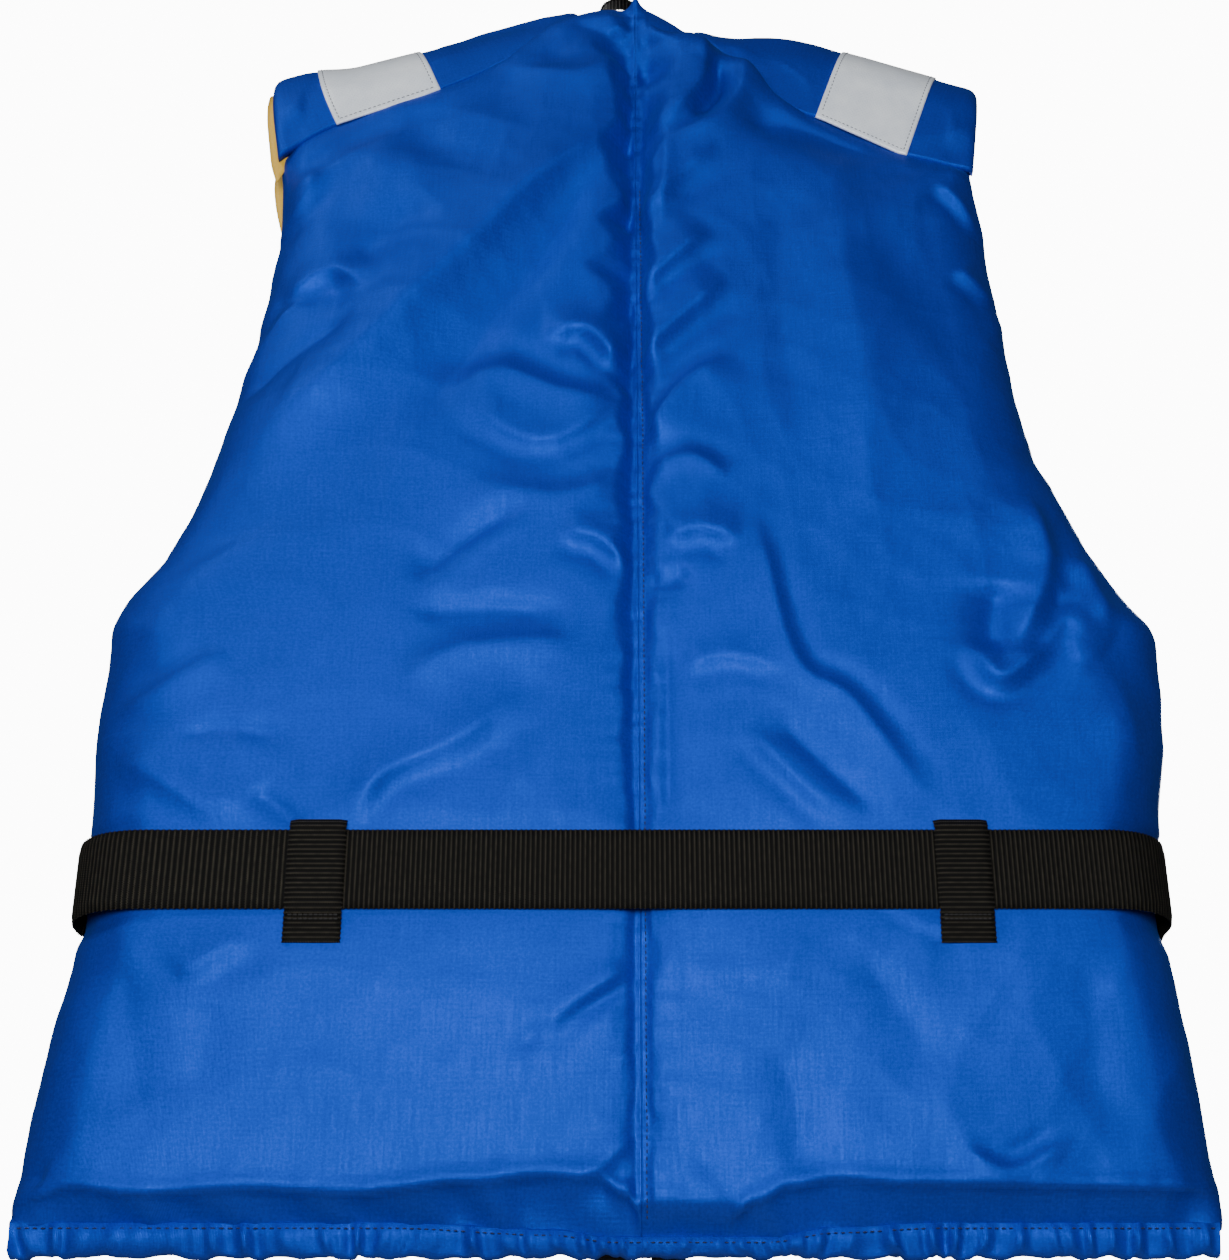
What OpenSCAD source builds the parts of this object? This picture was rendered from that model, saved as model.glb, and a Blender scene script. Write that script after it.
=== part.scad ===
// Foam buoyancy vest: two padded back halves, two padded fronts that open on a centre zip,
// shoulder yokes with reflectors, and a waist belt with a side-release buckle.
// It hangs by the loop at the back of its neck. +Z is up, the wearer's back faces -Y,
// and the origin is the point of the loop that a hook bears on.
// Millimetres. Inside this file z = 0 is close to the top of the neck, and at_hook()
// moves each piece so that the hook point is the origin.

/* [Body] */
// Half the width across the hem
hem_half = 262; // [255:1:275]
// Half the width where the belt draws the vest in
waist_half = 250; // [246:1:252]
// Half the width across the back between the armholes
armhole_half = 197; // [190:1:204]
// Half the width over the shoulder tips
shoulder_half = 196; // [192:1:200]
// Height of the bottom of the hem
hem_z = -686; // [-690:1:-680]
// Height of the bottom of the armholes
underarm_z = -385; // [-400:5:-370]
// Height of the point that a hook bears on
hook_z = 22; // [20:1:26]
// How far that point lies behind the middle plane
hook_back = 17; // [16:1:24]

/* [Padding] */
// How far the crown of the back stands behind the middle plane
back_crown = 52; // [48:1:53]
// How far the crown of the front stands before the middle plane
front_crown = 54; // [50:1:55]
// Inner face of the back padding
back_inner = 12; // [11:1:14]
// Inner face of the front padding
front_inner = 12; // [11:1:14]
// Thickness of a cover
cover_t = 2; // [1:0.5:3]
// Thickness of a lining
lining_t = 1.6; // [1:0.2:1.8]
// Half the gap between the two fronts
front_gap = 16; // [15:1:20]

/* [Belt] */
// Width of the belt webbing
belt_w = 38; // [36:1:40]
// Thickness of the belt webbing
belt_t = 2; // [1.6:0.1:2.2]
// Height of the middle of the belt
belt_z = -519.5; // [-525:0.5:-515]
// Width of a belt loop
loop_w = 25; // [20:1:30]
// Distance of a back belt loop from the middle
loop_x = 149; // [130:1:160]

/* [Zip] */
// Height of the top of the zip
zip_top = -190; // [-200:1:-185]
// Pitch of the teeth on one side
tooth_pitch = 6; // [5.6:0.2:8]
// Depth of the zip's middle plane
zip_y = 22; // [20:1:26]

/* [Hidden] */

cover_blue = [0.07, 0.27, 0.68];
lining_yellow = [0.86, 0.70, 0.27];
foam_white = [0.90, 0.90, 0.86];
webbing_black = [0.06, 0.06, 0.06];
tape_silver = [0.78, 0.80, 0.84];
plastic_black = [0.09, 0.09, 0.10];

neck_z = 8;                 // height of the top of the neck
foam_end_z = hem_z + 22;    // bottom of the back's padding, above the hem casing
front_rise = 8;             // the fronts end that much higher than the back
crease_outer = [shoulder_half - 6, -106]; // where the shoulder crease meets the armhole
crease_inner = [76, -46];   // where it meets the neck
crease_gap = 0.4;           // between a yoke and the back
door_gap = 4;               // between a yoke and a front, which swings past it
round_r = 30;               // rounding of the sides, seen from above
sides = 64;                 // $fn of round parts

// --- helpers ---------------------------------------------------------------

module at_hook() translate([0, hook_back, -hook_z]) children();
module left() mirror([1, 0, 0]) children();

// Points of a cubic curve from a to d
function curve(a, b, c, d, n) = [for (i = [0:n]) let (t = i / n, s = 1 - t)
    s * s * s * a + 3 * s * s * t * b + 3 * s * t * t * c + t * t * t * d];

function unit(v) = v / norm(v);
function inward(v) = [-v.y, v.x];

// A counter-clockwise outline drawn in by d
function inset(p, d) = [for (i = [0:len(p) - 1]) let (
    before = inward(unit(p[i] - p[(i + len(p) - 1) % len(p)])),
    after = inward(unit(p[(i + 1) % len(p)] - p[i])))
    p[i] + (before + after) * d / (1 + before * after)];

// A slab whose outline is given in X and Z, from y0 to y1
module slab(outline, y0, y1)
    translate([0, y1, 0]) rotate([90, 0, 0]) linear_extrude(y1 - y0) polygon(outline);

// A profile given in Y and Z, swept along X from x0 to x1
module sweep_x(profile, x0, x1)
    translate([x0, 0, 0]) rotate([90, 0, 90]) linear_extrude(x1 - x0) polygon(profile);

// A box from one corner to the other
module block(low, high) translate(low) cube(high - low);

// A bar of round section along X or along Y
module bar_x(r, x0, x1, y, z)
    translate([x0, y, z]) rotate([0, 90, 0]) cylinder(r = r, h = x1 - x0, $fn = sides);
module bar_z(r, z0, z1, x, y) translate([x, y, z0]) cylinder(r = r, h = z1 - z0, $fn = sides);

// The rounded plan that all four padded halves fit in, drawn in by d
module plan(crown, d) {
    half = hem_half - d;
    deep = crown - d;
    r = round_r - d;
    translate([0, 0, hem_z]) linear_extrude(hook_z - hem_z) union() {
        translate([r - half, -deep]) square([2 * (half - r), 2 * deep]);
        translate([-half, r - deep]) square([2 * half, 2 * (deep - r)]);
        for (x = [-1, 1], y = [-1, 1])
            translate([x * (half - r), y * (deep - r)]) circle(r = r, $fn = sides);
    }
}

// --- outlines, right-hand side ----------------------------------------------

armhole_back = curve([waist_half + 2, underarm_z], [205, -330],
    [armhole_half, -240], crease_outer, 8);
armhole_front = curve([waist_half + 2, underarm_z], [190, -340],
    [armhole_half - 12, -240], crease_outer - [0, door_gap], 8);
side_line = [
    [waist_half, belt_z - belt_w / 2 - 8],
    [waist_half, belt_z + belt_w / 2 + 8]
];
neck_back = [[66, -26], [50, -9], [25, neck_z], [0, neck_z]];
neck_front = curve([88, -57], [66, -120], [44, -160], [front_gap, zip_top + 4], 6);

back_outline = concat([[0, foam_end_z], [hem_half, foam_end_z]],
    side_line, armhole_back, [crease_inner], neck_back);
front_end_z = foam_end_z + front_rise;
front_outline = concat([[front_gap, front_end_z], [hem_half, front_end_z]],
    side_line, armhole_front, neck_front);

// Half of the padding's thickness from the middle plane outward against height, with its
// rounded hem and neck edges, listed counter-clockwise as depth and height
back_profile = [
    [0, foam_end_z], [32, foam_end_z], [42, foam_end_z + 3], [48, foam_end_z + 12],
    [50, -630], [back_crown, -430], [back_crown, -240], [49, -70],
    [46, -20], [42, 0], [36, neck_z], [0, neck_z]
];
front_profile = [
    [0, front_end_z], [32, front_end_z], [44, front_end_z + 4], [50, front_end_z + 16],
    [front_crown, -590], [front_crown, -200], [46, -80], [40, -30], [0, -30]
];

// --- padded halves ----------------------------------------------------------

// One padded half in front of the middle plane, drawn in by d
module padded_form(outline, profile, inner, crown, d)
    intersection() {
        slab(inset(outline, d), inner, crown - d);
        sweep_x(inset(profile, d), 0, hem_half);
        plan(crown, d);
    }
module back_form(d)
    mirror([0, 1, 0]) padded_form(back_outline, back_profile, back_inner, back_crown, d);
module front_form(d)
    padded_form(front_outline, front_profile, front_inner, front_crown, d);

module back_cover() color(cover_blue) difference() {
    back_form(0);
    back_form(cover_t);
}
module back_foam() color(foam_white) back_form(cover_t + 0.3);
module front_cover() color(cover_blue) difference() {
    front_form(0);
    front_form(cover_t);
}
module front_foam() color(foam_white) front_form(cover_t + 0.3);

module back_cover_left() at_hook() left() back_cover();
module back_cover_right() at_hook() back_cover();
module back_foam_left() at_hook() left() back_foam();
module back_foam_right() at_hook() back_foam();
module front_cover_left() at_hook() left() front_cover();
module front_cover_right() at_hook() front_cover();
module front_foam_left() at_hook() left() front_foam();
module front_foam_right() at_hook() front_foam();

// --- linings ----------------------------------------------------------------

module back_lining() at_hook() color(lining_yellow)
    for (side = [0, 1]) mirror([side, 0, 0]) slab(back_outline, -back_inner, lining_t - back_inner);
module front_lining() color(lining_yellow)
    slab(inset(front_outline, 0.2), front_inner - lining_t, front_inner);
module front_lining_left() at_hook() left() front_lining();
module front_lining_right() at_hook() front_lining();

// --- shoulder yokes: straps that arch from the back over to the fronts -------

yoke_r = 40;      // outer radius of the arch
yoke_t = 8;       // thickness of the padded strap
yoke_tilt = 19.8; // slope of the shoulder, outward and down
yoke_x = 88;      // where the height of the arch is given
yoke_top = 5;     // height of the arch there
yoke_leg = 130;   // length of the straight legs, before they are cut on the crease

// The region above the crease, between the neck and the shoulder tip
yoke_window = [
    crease_outer + [0, crease_gap], [shoulder_half, -100], [shoulder_half + 4, -40],
    [shoulder_half - 20, 20], [60, 20], [46, -1], [50, -9] + [crease_gap, 0],
    [66, -26] + [crease_gap, 0], crease_inner + [crease_gap, crease_gap]
];

module arch_2d(r) {
    circle(r = r, $fn = 96);
    translate([-r, -yoke_leg]) square([2 * r, yoke_leg]);
}
// A layer of the arch from radius r_in to r_out, between two distances along the shoulder
module arch(r_in, r_out, from, to)
    translate([yoke_x, 0, yoke_top - yoke_r]) rotate([0, yoke_tilt, 0])
        translate([from - yoke_x, 0, 0]) rotate([90, 0, 90]) linear_extrude(to - from)
            difference() {
                arch_2d(r_out);
                arch_2d(r_in);
            }
// On the front the crease lies the same way, so one window cuts both legs
module yoke_layer(r_in, r_out, from = 20, to = 260)
    intersection() {
        arch(r_in, r_out, from, to);
        slab(yoke_window, -yoke_r - 2, yoke_r + 2);
    }
module yoke() color(cover_blue) yoke_layer(yoke_r - yoke_t, yoke_r);
module yoke_lining() color(lining_yellow)
    yoke_layer(yoke_r - yoke_t - lining_t, yoke_r - yoke_t);
// A 57 mm patch of silver tape over the shoulder
module reflector() color(tape_silver) intersection() {
    arch(yoke_r, yoke_r + 0.8, 113.5, 170.5);
    slab(inset(yoke_window, 3), -yoke_r - 2, yoke_r + 2);
}
module shoulder_yoke_left() at_hook() left() yoke();
module shoulder_yoke_right() at_hook() yoke();
module yoke_lining_left() at_hook() left() yoke_lining();
module yoke_lining_right() at_hook() yoke_lining();
module reflector_left() at_hook() left() reflector();
module reflector_right() at_hook() reflector();

// --- sides and hem ----------------------------------------------------------

hinge_y = 10;     // the line that a front turns about lies just outside the side seam
side_strip = 8;   // width of the side panel that closes back to front
// The side panel fills the depth between the linings, short of the hinge line
module side_panel() color(cover_blue) slab([
    [hem_half - side_strip, foam_end_z], [hem_half, foam_end_z],
    side_line[0], side_line[1], [waist_half + 2, underarm_z],
    [waist_half + 2 - side_strip, underarm_z], side_line[1] - [side_strip, 0],
    side_line[0] - [side_strip, 0]
], lining_t - back_inner + 0.1, hinge_y - 2);
module side_panel_left() at_hook() left() side_panel();
module side_panel_right() at_hook() side_panel();

hem_h = foam_end_z - hem_z; // height of the hem casing
hem_back_y = -34; // outermost depth of the back casing
hem_t = 3;        // wall of a casing
elastic_t = 2;    // thickness of the elastic in it

// A casing is a flat tube with rounded edges along X, with a slot for the elastic
module casing(x0, x1, y0, y1) color(cover_blue) difference() {
    r = (y1 - y0) / 2;
    top = hem_z + hem_h - 0.2;
    union() {
        block([x0, y0, hem_z + r], [x1, y1, top]);
        bar_x(r, x0, x1, (y0 + y1) / 2, hem_z + r);
    }
    block([x0 - 1, (y0 + y1 - elastic_t) / 2 - 0.2, hem_z + hem_t],
        [x1 + 1, (y0 + y1 + elastic_t) / 2 + 0.2, top - hem_t]);
}
module elastic(x0, x1, y) color(webbing_black)
    block([x0, y - elastic_t / 2, hem_z + hem_t + 0.3],
        [x1, y + elastic_t / 2, hem_z + hem_h - 0.2 - hem_t - 0.3]);

hem_x = hem_half - 3; // half length of the hem
hem_mid_y = (hem_back_y - 14) / 2;
module hem_casing_back() at_hook() casing(-hem_x, hem_x, hem_back_y, -14);
module hem_elastic_back() at_hook() elastic(-hem_x, hem_x, hem_mid_y);
module front_casing() translate([0, 0, front_rise]) casing(front_gap, hem_x, 14, -hem_back_y);
module front_elastic() translate([0, 0, front_rise]) elastic(front_gap, hem_x, -hem_mid_y);
module hem_casing_front_left() at_hook() left() front_casing();
module hem_casing_front_right() at_hook() front_casing();
module hem_elastic_front_left() at_hook() left() front_elastic();
module hem_elastic_front_right() at_hook() front_elastic();

// --- belt -------------------------------------------------------------------

belt_low = belt_z - belt_w / 2;
belt_high = belt_z + belt_w / 2;
belt_in_x = waist_half + 2.2;          // inner face of the belt at the sides
belt_back_y = -(back_crown + 0.3);     // inner face across the back
belt_front_y = front_crown + 1.8;      // inner face across the fronts
belt_r = 12;                           // inner radius of its turns round the sides
seam_gap = 1;                          // between the back and front runs, at the hinge line

module rounded_2d(half, low, high, r) {
    translate([r - half, low]) square([2 * (half - r), high - low]);
    translate([-half, low + r]) square([2 * half, high - low - 2 * r]);
    for (x = [r - half, half - r], y = [low + r, high - r])
        translate([x, y]) circle(r = r, $fn = sides);
}
// The closed line of the belt round the vest, cut to the part inside the given square
module belt_run(low, high)
    translate([0, 0, belt_low]) linear_extrude(belt_w) intersection() {
        difference() {
            rounded_2d(belt_in_x + belt_t, belt_back_y - belt_t, belt_front_y + belt_t,
                belt_r + belt_t);
            rounded_2d(belt_in_x, belt_back_y, belt_front_y, belt_r);
        }
        translate(low) square(high - low);
    }
far = 300; // beyond every piece
module belt_back() at_hook() color(webbing_black) belt_run([-far, -far], [far, hinge_y - seam_gap]);

// A loop of webbing over the belt: sewn above it, and with a sewn tail below it
module belt_loop(x, tail, body_y, belt_face)
    color(webbing_black) sweep_x([
        [body_y, belt_low - tail], [belt_face + belt_t, belt_low - tail],
        [belt_face + belt_t, belt_high + 4], [body_y, belt_high + 4],
        [body_y, belt_high + 0.5], [belt_face, belt_high + 0.5],
        [belt_face, belt_low - 0.5], [body_y, belt_low - 0.5]
    ], x - loop_w / 2, x + loop_w / 2);
loop_tail = 16;
module back_loop() mirror([0, 1, 0])
    belt_loop(loop_x, loop_tail, back_crown, -belt_back_y + belt_t + 0.3);
module belt_loop_back_left() at_hook() left() back_loop();
module belt_loop_back_right() at_hook() back_loop();
front_loop_x = 200;
module front_loop()
    belt_loop(front_loop_x, loop_tail, front_crown, belt_front_y + belt_t + 0.3);
module belt_loop_front_left() at_hook() left() front_loop();
module belt_loop_front_right() at_hook() front_loop();

// --- side-release buckle ----------------------------------------------------

socket_mouth = -4;    // the mouth of the socket, which faces the wearer's right
socket_l = 56;        // length of the socket
socket_h = 48;        // height of the socket and of the frame
socket_t = 14;        // thickness of the socket
socket_wall = 2.2;    // its walls
bar_r = 2.2;          // radius of the bars that webbing turns round
turn_r = 2.8;         // inner radius of the webbing's turns
clip_travel = 40;     // how far the frame travels to clip in

socket_bar_y = belt_front_y + belt_t + turn_r;         // the socket's webbing bar
frame_bar_y = socket_bar_y + belt_t + 0.3;             // the frame's webbing bar
socket_y0 = frame_bar_y - socket_t / 2;
socket_back = socket_mouth - socket_l;

// Webbing that comes in along X at depth y, turns round a bar and comes back
module webbing_turn(bar_x, bar_y, lower, upper) {
    translate([bar_x, bar_y, belt_low]) linear_extrude(belt_w) difference() {
        circle(r = turn_r + belt_t, $fn = sides);
        circle(r = turn_r, $fn = sides);
        translate([0, -far]) square([far, 2 * far]);
    }
    block([bar_x, bar_y - turn_r - belt_t, belt_low], [bar_x + lower, bar_y - turn_r, belt_high]);
    block([bar_x, bar_y + turn_r, belt_low], [bar_x + upper, bar_y + turn_r + belt_t, belt_high]);
}

socket_bar_x = socket_back + 5;
left_fold = 34; // length of the sewn fold behind the socket
module belt_front_left() at_hook() color(webbing_black) union() {
    left() belt_run([-socket_bar_x + left_fold - 1, hinge_y + seam_gap], [far, far]);
    left() webbing_turn(-socket_bar_x, socket_bar_y, left_fold, left_fold);
}

z_mid = belt_z;
cavity = socket_h / 2 - socket_wall;       // half height of the cavity
window_x0 = socket_mouth - 34;             // the side windows that the prongs latch in
window_x1 = socket_mouth - 14;
cavity_x0 = socket_mouth - 40;
module buckle_socket() at_hook() color(plastic_black) difference() {
    union() {
        // housing, then the two cheeks that carry the webbing bar
        block([cavity_x0 - 3, socket_y0, z_mid - socket_h / 2],
            [socket_mouth, socket_y0 + socket_t, z_mid + socket_h / 2]);
        for (s = [-1, 1]) block(
            [socket_back, socket_y0 + 2.5, z_mid + (s > 0 ? belt_w / 2 + 0.8 : -socket_h / 2)],
            [cavity_x0, socket_y0 + 10, z_mid + (s > 0 ? socket_h / 2 : -belt_w / 2 - 0.8)]);
        bar_z(bar_r, z_mid - belt_w / 2 - 2, z_mid + belt_w / 2 + 2, socket_bar_x, socket_bar_y);
    }
    // cavity, open at the mouth
    block([cavity_x0, socket_y0 + socket_wall, z_mid - cavity],
        [socket_mouth + 1, socket_y0 + socket_t - socket_wall, z_mid + cavity]);
    // side windows
    for (s = [-1, 1]) block(
        [window_x0, socket_y0 + socket_wall, z_mid + (s > 0 ? cavity - 1 : -socket_h / 2 - 1)],
        [window_x1, socket_y0 + socket_t - socket_wall,
            z_mid + (s > 0 ? socket_h / 2 + 1 : 1 - cavity)]);
}

frame_x0 = socket_mouth + clip_travel + 1; // the frame's inner end, unclipped
frame_l = 30;
frame_bar_x = frame_x0 + 14;
frame_t = 9;
prong_l = 32;         // from the frame to a prong's tip
prong_z = 14;         // height of a prong's middle from the buckle's middle
prong_half = 3;       // half the height of a prong
prong_t = 7;          // thickness of a prong
latch_z = 23.4;       // height that the latch stands out to
knuckle_x = frame_x0 - prong_half - 0.4;
pin_r = 1.6;
pin_play = 0.08;      // radial clearance of every pin
webbing_window = belt_w / 2 + 0.8;

// A bar of round section along Y
module bar_y(r, x, y0, y1, z)
    translate([x, y1, z]) rotate([90, 0, 0]) cylinder(r = r, h = y1 - y0, $fn = sides);

module buckle_frame() at_hook() color(plastic_black) union() {
    difference() {
        block([frame_x0, frame_bar_y - frame_t / 2, z_mid - socket_h / 2],
            [frame_x0 + frame_l, frame_bar_y + frame_t / 2, z_mid + socket_h / 2]);
        block([frame_bar_x - bar_r - 6, frame_bar_y - frame_t, z_mid - webbing_window],
            [frame_x0 + frame_l + 1, frame_bar_y + frame_t, z_mid + webbing_window]);
    }
    // webbing bar and outer crossbar
    bar_z(bar_r, z_mid - webbing_window - 1, z_mid + webbing_window + 1, frame_bar_x, frame_bar_y);
    block([frame_x0 + frame_l - 4.2, frame_bar_y - 2.4, z_mid - webbing_window - 1],
        [frame_x0 + frame_l, frame_bar_y + 2.4, z_mid + webbing_window + 1]);
    // centre guide
    block([frame_x0 - prong_l + 6, frame_bar_y - 2.5, z_mid - 4],
        [frame_x0 + 1, frame_bar_y + 2.5, z_mid + 4]);
    // ears and pins at the prong roots
    for (s = [-1, 1]) {
        for (y = [-frame_t / 2, frame_t / 2 - 0.8])
            block([knuckle_x - prong_half, frame_bar_y + y, z_mid + s * prong_z - prong_half],
                [frame_x0 + 1, frame_bar_y + y + 0.8, z_mid + s * prong_z + prong_half]);
        bar_y(pin_r, knuckle_x, frame_bar_y - frame_t / 2, frame_bar_y + frame_t / 2,
            z_mid + s * prong_z);
    }
}

// The upper prong: a knuckle on its pin, an arm, and a latch near the tip
module prong() color(plastic_black) difference() {
    tip = frame_x0 - prong_l;
    union() {
        translate([0, 0, z_mid]) slab([
            [tip, prong_z - 1], [tip + 2, prong_z - prong_half], [knuckle_x, prong_z - prong_half],
            [knuckle_x, prong_z + prong_half], [tip + 14, prong_z + prong_half],
            [tip + 13, latch_z], [tip + 6, latch_z]
        ], frame_bar_y - prong_t / 2, frame_bar_y + prong_t / 2);
        bar_y(prong_half, knuckle_x, frame_bar_y - prong_t / 2, frame_bar_y + prong_t / 2,
            z_mid + prong_z);
    }
    bar_y(pin_r + pin_play, knuckle_x, frame_bar_y - prong_t, frame_bar_y + prong_t,
        z_mid + prong_z);
}
module buckle_prong_upper() at_hook() prong();
module buckle_prong_lower() at_hook()
    translate([0, 0, 2 * z_mid]) mirror([0, 0, 1]) prong();

tail_under = 65;  // of the tail under the frame, lying on the belt
tail_over = 125;  // and on top, as far as its loose end
module belt_tail() at_hook() color(webbing_black)
    webbing_turn(frame_bar_x, frame_bar_y, tail_under, tail_over);
module belt_front_right() at_hook() color(webbing_black)
    belt_run([frame_bar_x + 11, hinge_y + seam_gap], [far, far]);

keeper_x = 118;
keeper_w = 12;
keeper_t = 1.2;
module strap_keeper() at_hook() color(webbing_black) difference() {
    y0 = belt_front_y - 0.3;
    y1 = frame_bar_y + turn_r + belt_t + 0.3;
    block([keeper_x, y0 - keeper_t, belt_low - 0.5 - keeper_t],
        [keeper_x + keeper_w, y1 + keeper_t, belt_high + 0.5 + keeper_t]);
    block([keeper_x - 1, y0, belt_low - 0.5], [keeper_x + keeper_w + 1, y1, belt_high + 0.5]);
}

// --- zip --------------------------------------------------------------------

teeth_top = zip_top - 19;         // the closed slider sits above the first tooth
teeth_bottom = foam_end_z + 4;
tooth_h = 2.4;
tooth_reach = 2.2;                // how far a tooth crosses the middle
tooth_half_y = 2.5;
bead_x0 = 3.2;                    // the beaded edge that the teeth are moulded on
bead_x1 = 5;
tape_half_y = 0.5;
slider_top = zip_top - 4;
slider_h = 14;
slider_half = 8.5;
slider_plate = 3;                 // thickness of the slider's two plates
slider_room = 3.5;                // half the room between them

// One side's teeth; drop offsets them from the other side's
module teeth(drop) color(plastic_black) union() {
    block([bead_x0, zip_y - 1.5, teeth_bottom], [bead_x1, zip_y + 1.5, teeth_top]);
    for (z = [teeth_top - 3 - drop:-tooth_pitch:teeth_bottom + 2])
        block([-tooth_reach, zip_y - tooth_half_y, z - tooth_h / 2],
            [bead_x0 + 0.2, zip_y + tooth_half_y, z + tooth_h / 2]);
}
module zip_teeth_left() at_hook() left() teeth(tooth_pitch / 2);
module zip_teeth_right() at_hook() teeth(0);

module tape() color(webbing_black)
    block([bead_x1, zip_y - tape_half_y, hem_z + 2], [front_gap, zip_y + tape_half_y, zip_top]);
// The left tape is cut back beside the slider, so that the front opens past it
module zip_tape_left() at_hook() left() difference() {
    tape();
    block([0, zip_y - 5, slider_top - slider_h - 1],
        [slider_half + 1, zip_y + 5, slider_top + 0.5]);
}
module zip_tape_right() at_hook() tape();

module stop() color(plastic_black)
    block([bead_x1 - 2.4, zip_y - 2.2, slider_top + 0.5], [bead_x1, zip_y + 2.2, zip_top]);
module zip_stop_left() at_hook() left() stop();
module zip_stop_right() at_hook() stop();

// At the foot the insertion pin stands beside the retaining box
module zip_insert_pin() at_hook() color(plastic_black) left()
    block([1, zip_y - 1.6, hem_z + 6], [bead_x1, zip_y + 1.6, teeth_bottom]);
module zip_box() at_hook() color(plastic_black)
    block([0, zip_y - 3.4, hem_z + 4], [bead_x1, zip_y + 3.4, teeth_bottom - 1]);

pull_y = zip_y + slider_room + slider_plate + 3.4;
pull_z = slider_top - slider_h / 2;
pull_pin_r = 1.2;
ear_x0 = 3.4;
ear_x1 = 4.8;
module zip_slider() at_hook() color(plastic_black) union() {
    low = slider_top - slider_h;
    for (s = [-1, 1]) {
        y = zip_y + s * slider_room;
        block([-slider_half, min(y, y + s * slider_plate), low],
            [slider_half, max(y, y + s * slider_plate), slider_top]);
        // flanges beside the beads, which leave the tapes free
        for (x = [-slider_half, slider_half - 2.4])
            block([x, min(y, zip_y + s * 1.1), low], [x + 2.4, max(y, zip_y + s * 1.1), slider_top]);
        // ears of the pull
        block([s > 0 ? ear_x0 : -ear_x1, zip_y + slider_room + slider_plate - 0.2, pull_z - 2.5],
            [s > 0 ? ear_x1 : -ear_x0, pull_y + 2, pull_z + 2.5]);
    }
    // the wedge that parts the teeth
    block([-1.5, zip_y - slider_room - 0.2, slider_top - 5],
        [1.5, zip_y + slider_room + 0.2, slider_top]);
    bar_x(pull_pin_r, -ear_x0 - 0.5, ear_x0 + 0.5, pull_y, pull_z);
}
pull_l = 32;
module zip_pull() at_hook() color(plastic_black) difference() {
    union() {
        bar_x(2.3, 0.3 - ear_x0, ear_x0 - 0.3, pull_y, pull_z);
        slab([[-2.5, pull_z - 9], [-5, pull_z - 13], [-5, pull_z - pull_l], [5, pull_z - pull_l],
            [5, pull_z - 13], [2.5, pull_z - 9], [2.5, pull_z], [-2.5, pull_z]],
            pull_y - 1, pull_y + 1);
    }
    bar_x(pull_pin_r + pin_play, -ear_x0, ear_x0, pull_y, pull_z);
    // finger hole
    bar_y(2.6, 0, pull_y - 2, pull_y + 2, pull_z - pull_l + 7);
}

// --- hanging loop -----------------------------------------------------------

loop_in_r = 11;    // inner radius of the loop
tape_t = 1.6;      // thickness of its tape
tape_w = 10;       // width of its tape
module hang_loop() at_hook() color(webbing_black)
    translate([0, tape_w / 2 - hook_back, hook_z - loop_in_r]) rotate([90, 0, 0])
        linear_extrude(tape_w) union() {
            difference() {
                circle(r = loop_in_r + tape_t, $fn = sides);
                circle(r = loop_in_r, $fn = sides);
                translate([-far, -far]) square([2 * far, far]);
            }
            for (x = [-loop_in_r - tape_t, loop_in_r])
                translate([x, neck_z - hook_z + loop_in_r])
                    square([tape_t, hook_z - loop_in_r - neck_z]);
        }

back_cover_left();
back_cover_right();
back_foam_left();
back_foam_right();
back_lining();
shoulder_yoke_left();
shoulder_yoke_right();
yoke_lining_left();
yoke_lining_right();
reflector_left();
reflector_right();
side_panel_left();
side_panel_right();
hem_casing_back();
hem_elastic_back();
belt_back();
belt_loop_back_left();
belt_loop_back_right();
hang_loop();
front_cover_left();
front_cover_right();
front_foam_left();
front_foam_right();
front_lining_left();
front_lining_right();
hem_casing_front_left();
hem_casing_front_right();
hem_elastic_front_left();
hem_elastic_front_right();
belt_front_left();
belt_front_right();
belt_loop_front_left();
belt_loop_front_right();
zip_tape_left();
zip_tape_right();
zip_teeth_left();
zip_teeth_right();
zip_stop_left();
zip_stop_right();
zip_insert_pin();
zip_box();
zip_slider();
zip_pull();
buckle_socket();
buckle_frame();
buckle_prong_upper();
buckle_prong_lower();
belt_tail();
strap_keeper();
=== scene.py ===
import math

import bpy
import numpy as np
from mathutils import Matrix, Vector
from mathutils.bvhtree import BVHTree


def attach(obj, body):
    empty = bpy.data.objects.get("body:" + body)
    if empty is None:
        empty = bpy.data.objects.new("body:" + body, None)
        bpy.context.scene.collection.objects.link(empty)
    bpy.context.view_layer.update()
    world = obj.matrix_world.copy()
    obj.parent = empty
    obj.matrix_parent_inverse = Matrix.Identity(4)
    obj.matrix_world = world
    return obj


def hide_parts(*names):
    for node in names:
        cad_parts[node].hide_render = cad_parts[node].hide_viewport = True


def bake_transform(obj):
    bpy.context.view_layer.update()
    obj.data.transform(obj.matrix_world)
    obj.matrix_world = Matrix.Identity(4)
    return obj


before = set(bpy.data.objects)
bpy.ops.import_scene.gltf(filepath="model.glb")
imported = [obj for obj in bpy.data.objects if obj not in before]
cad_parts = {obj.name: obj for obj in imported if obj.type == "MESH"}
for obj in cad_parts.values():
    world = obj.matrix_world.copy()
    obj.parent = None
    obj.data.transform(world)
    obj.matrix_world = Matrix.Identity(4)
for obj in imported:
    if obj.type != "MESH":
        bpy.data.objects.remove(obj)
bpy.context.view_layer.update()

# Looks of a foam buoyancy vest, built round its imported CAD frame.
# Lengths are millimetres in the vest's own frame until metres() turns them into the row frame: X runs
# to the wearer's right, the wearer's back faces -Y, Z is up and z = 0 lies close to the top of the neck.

# --- driving dimensions, as the CAD has them ----------------------------------

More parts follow.
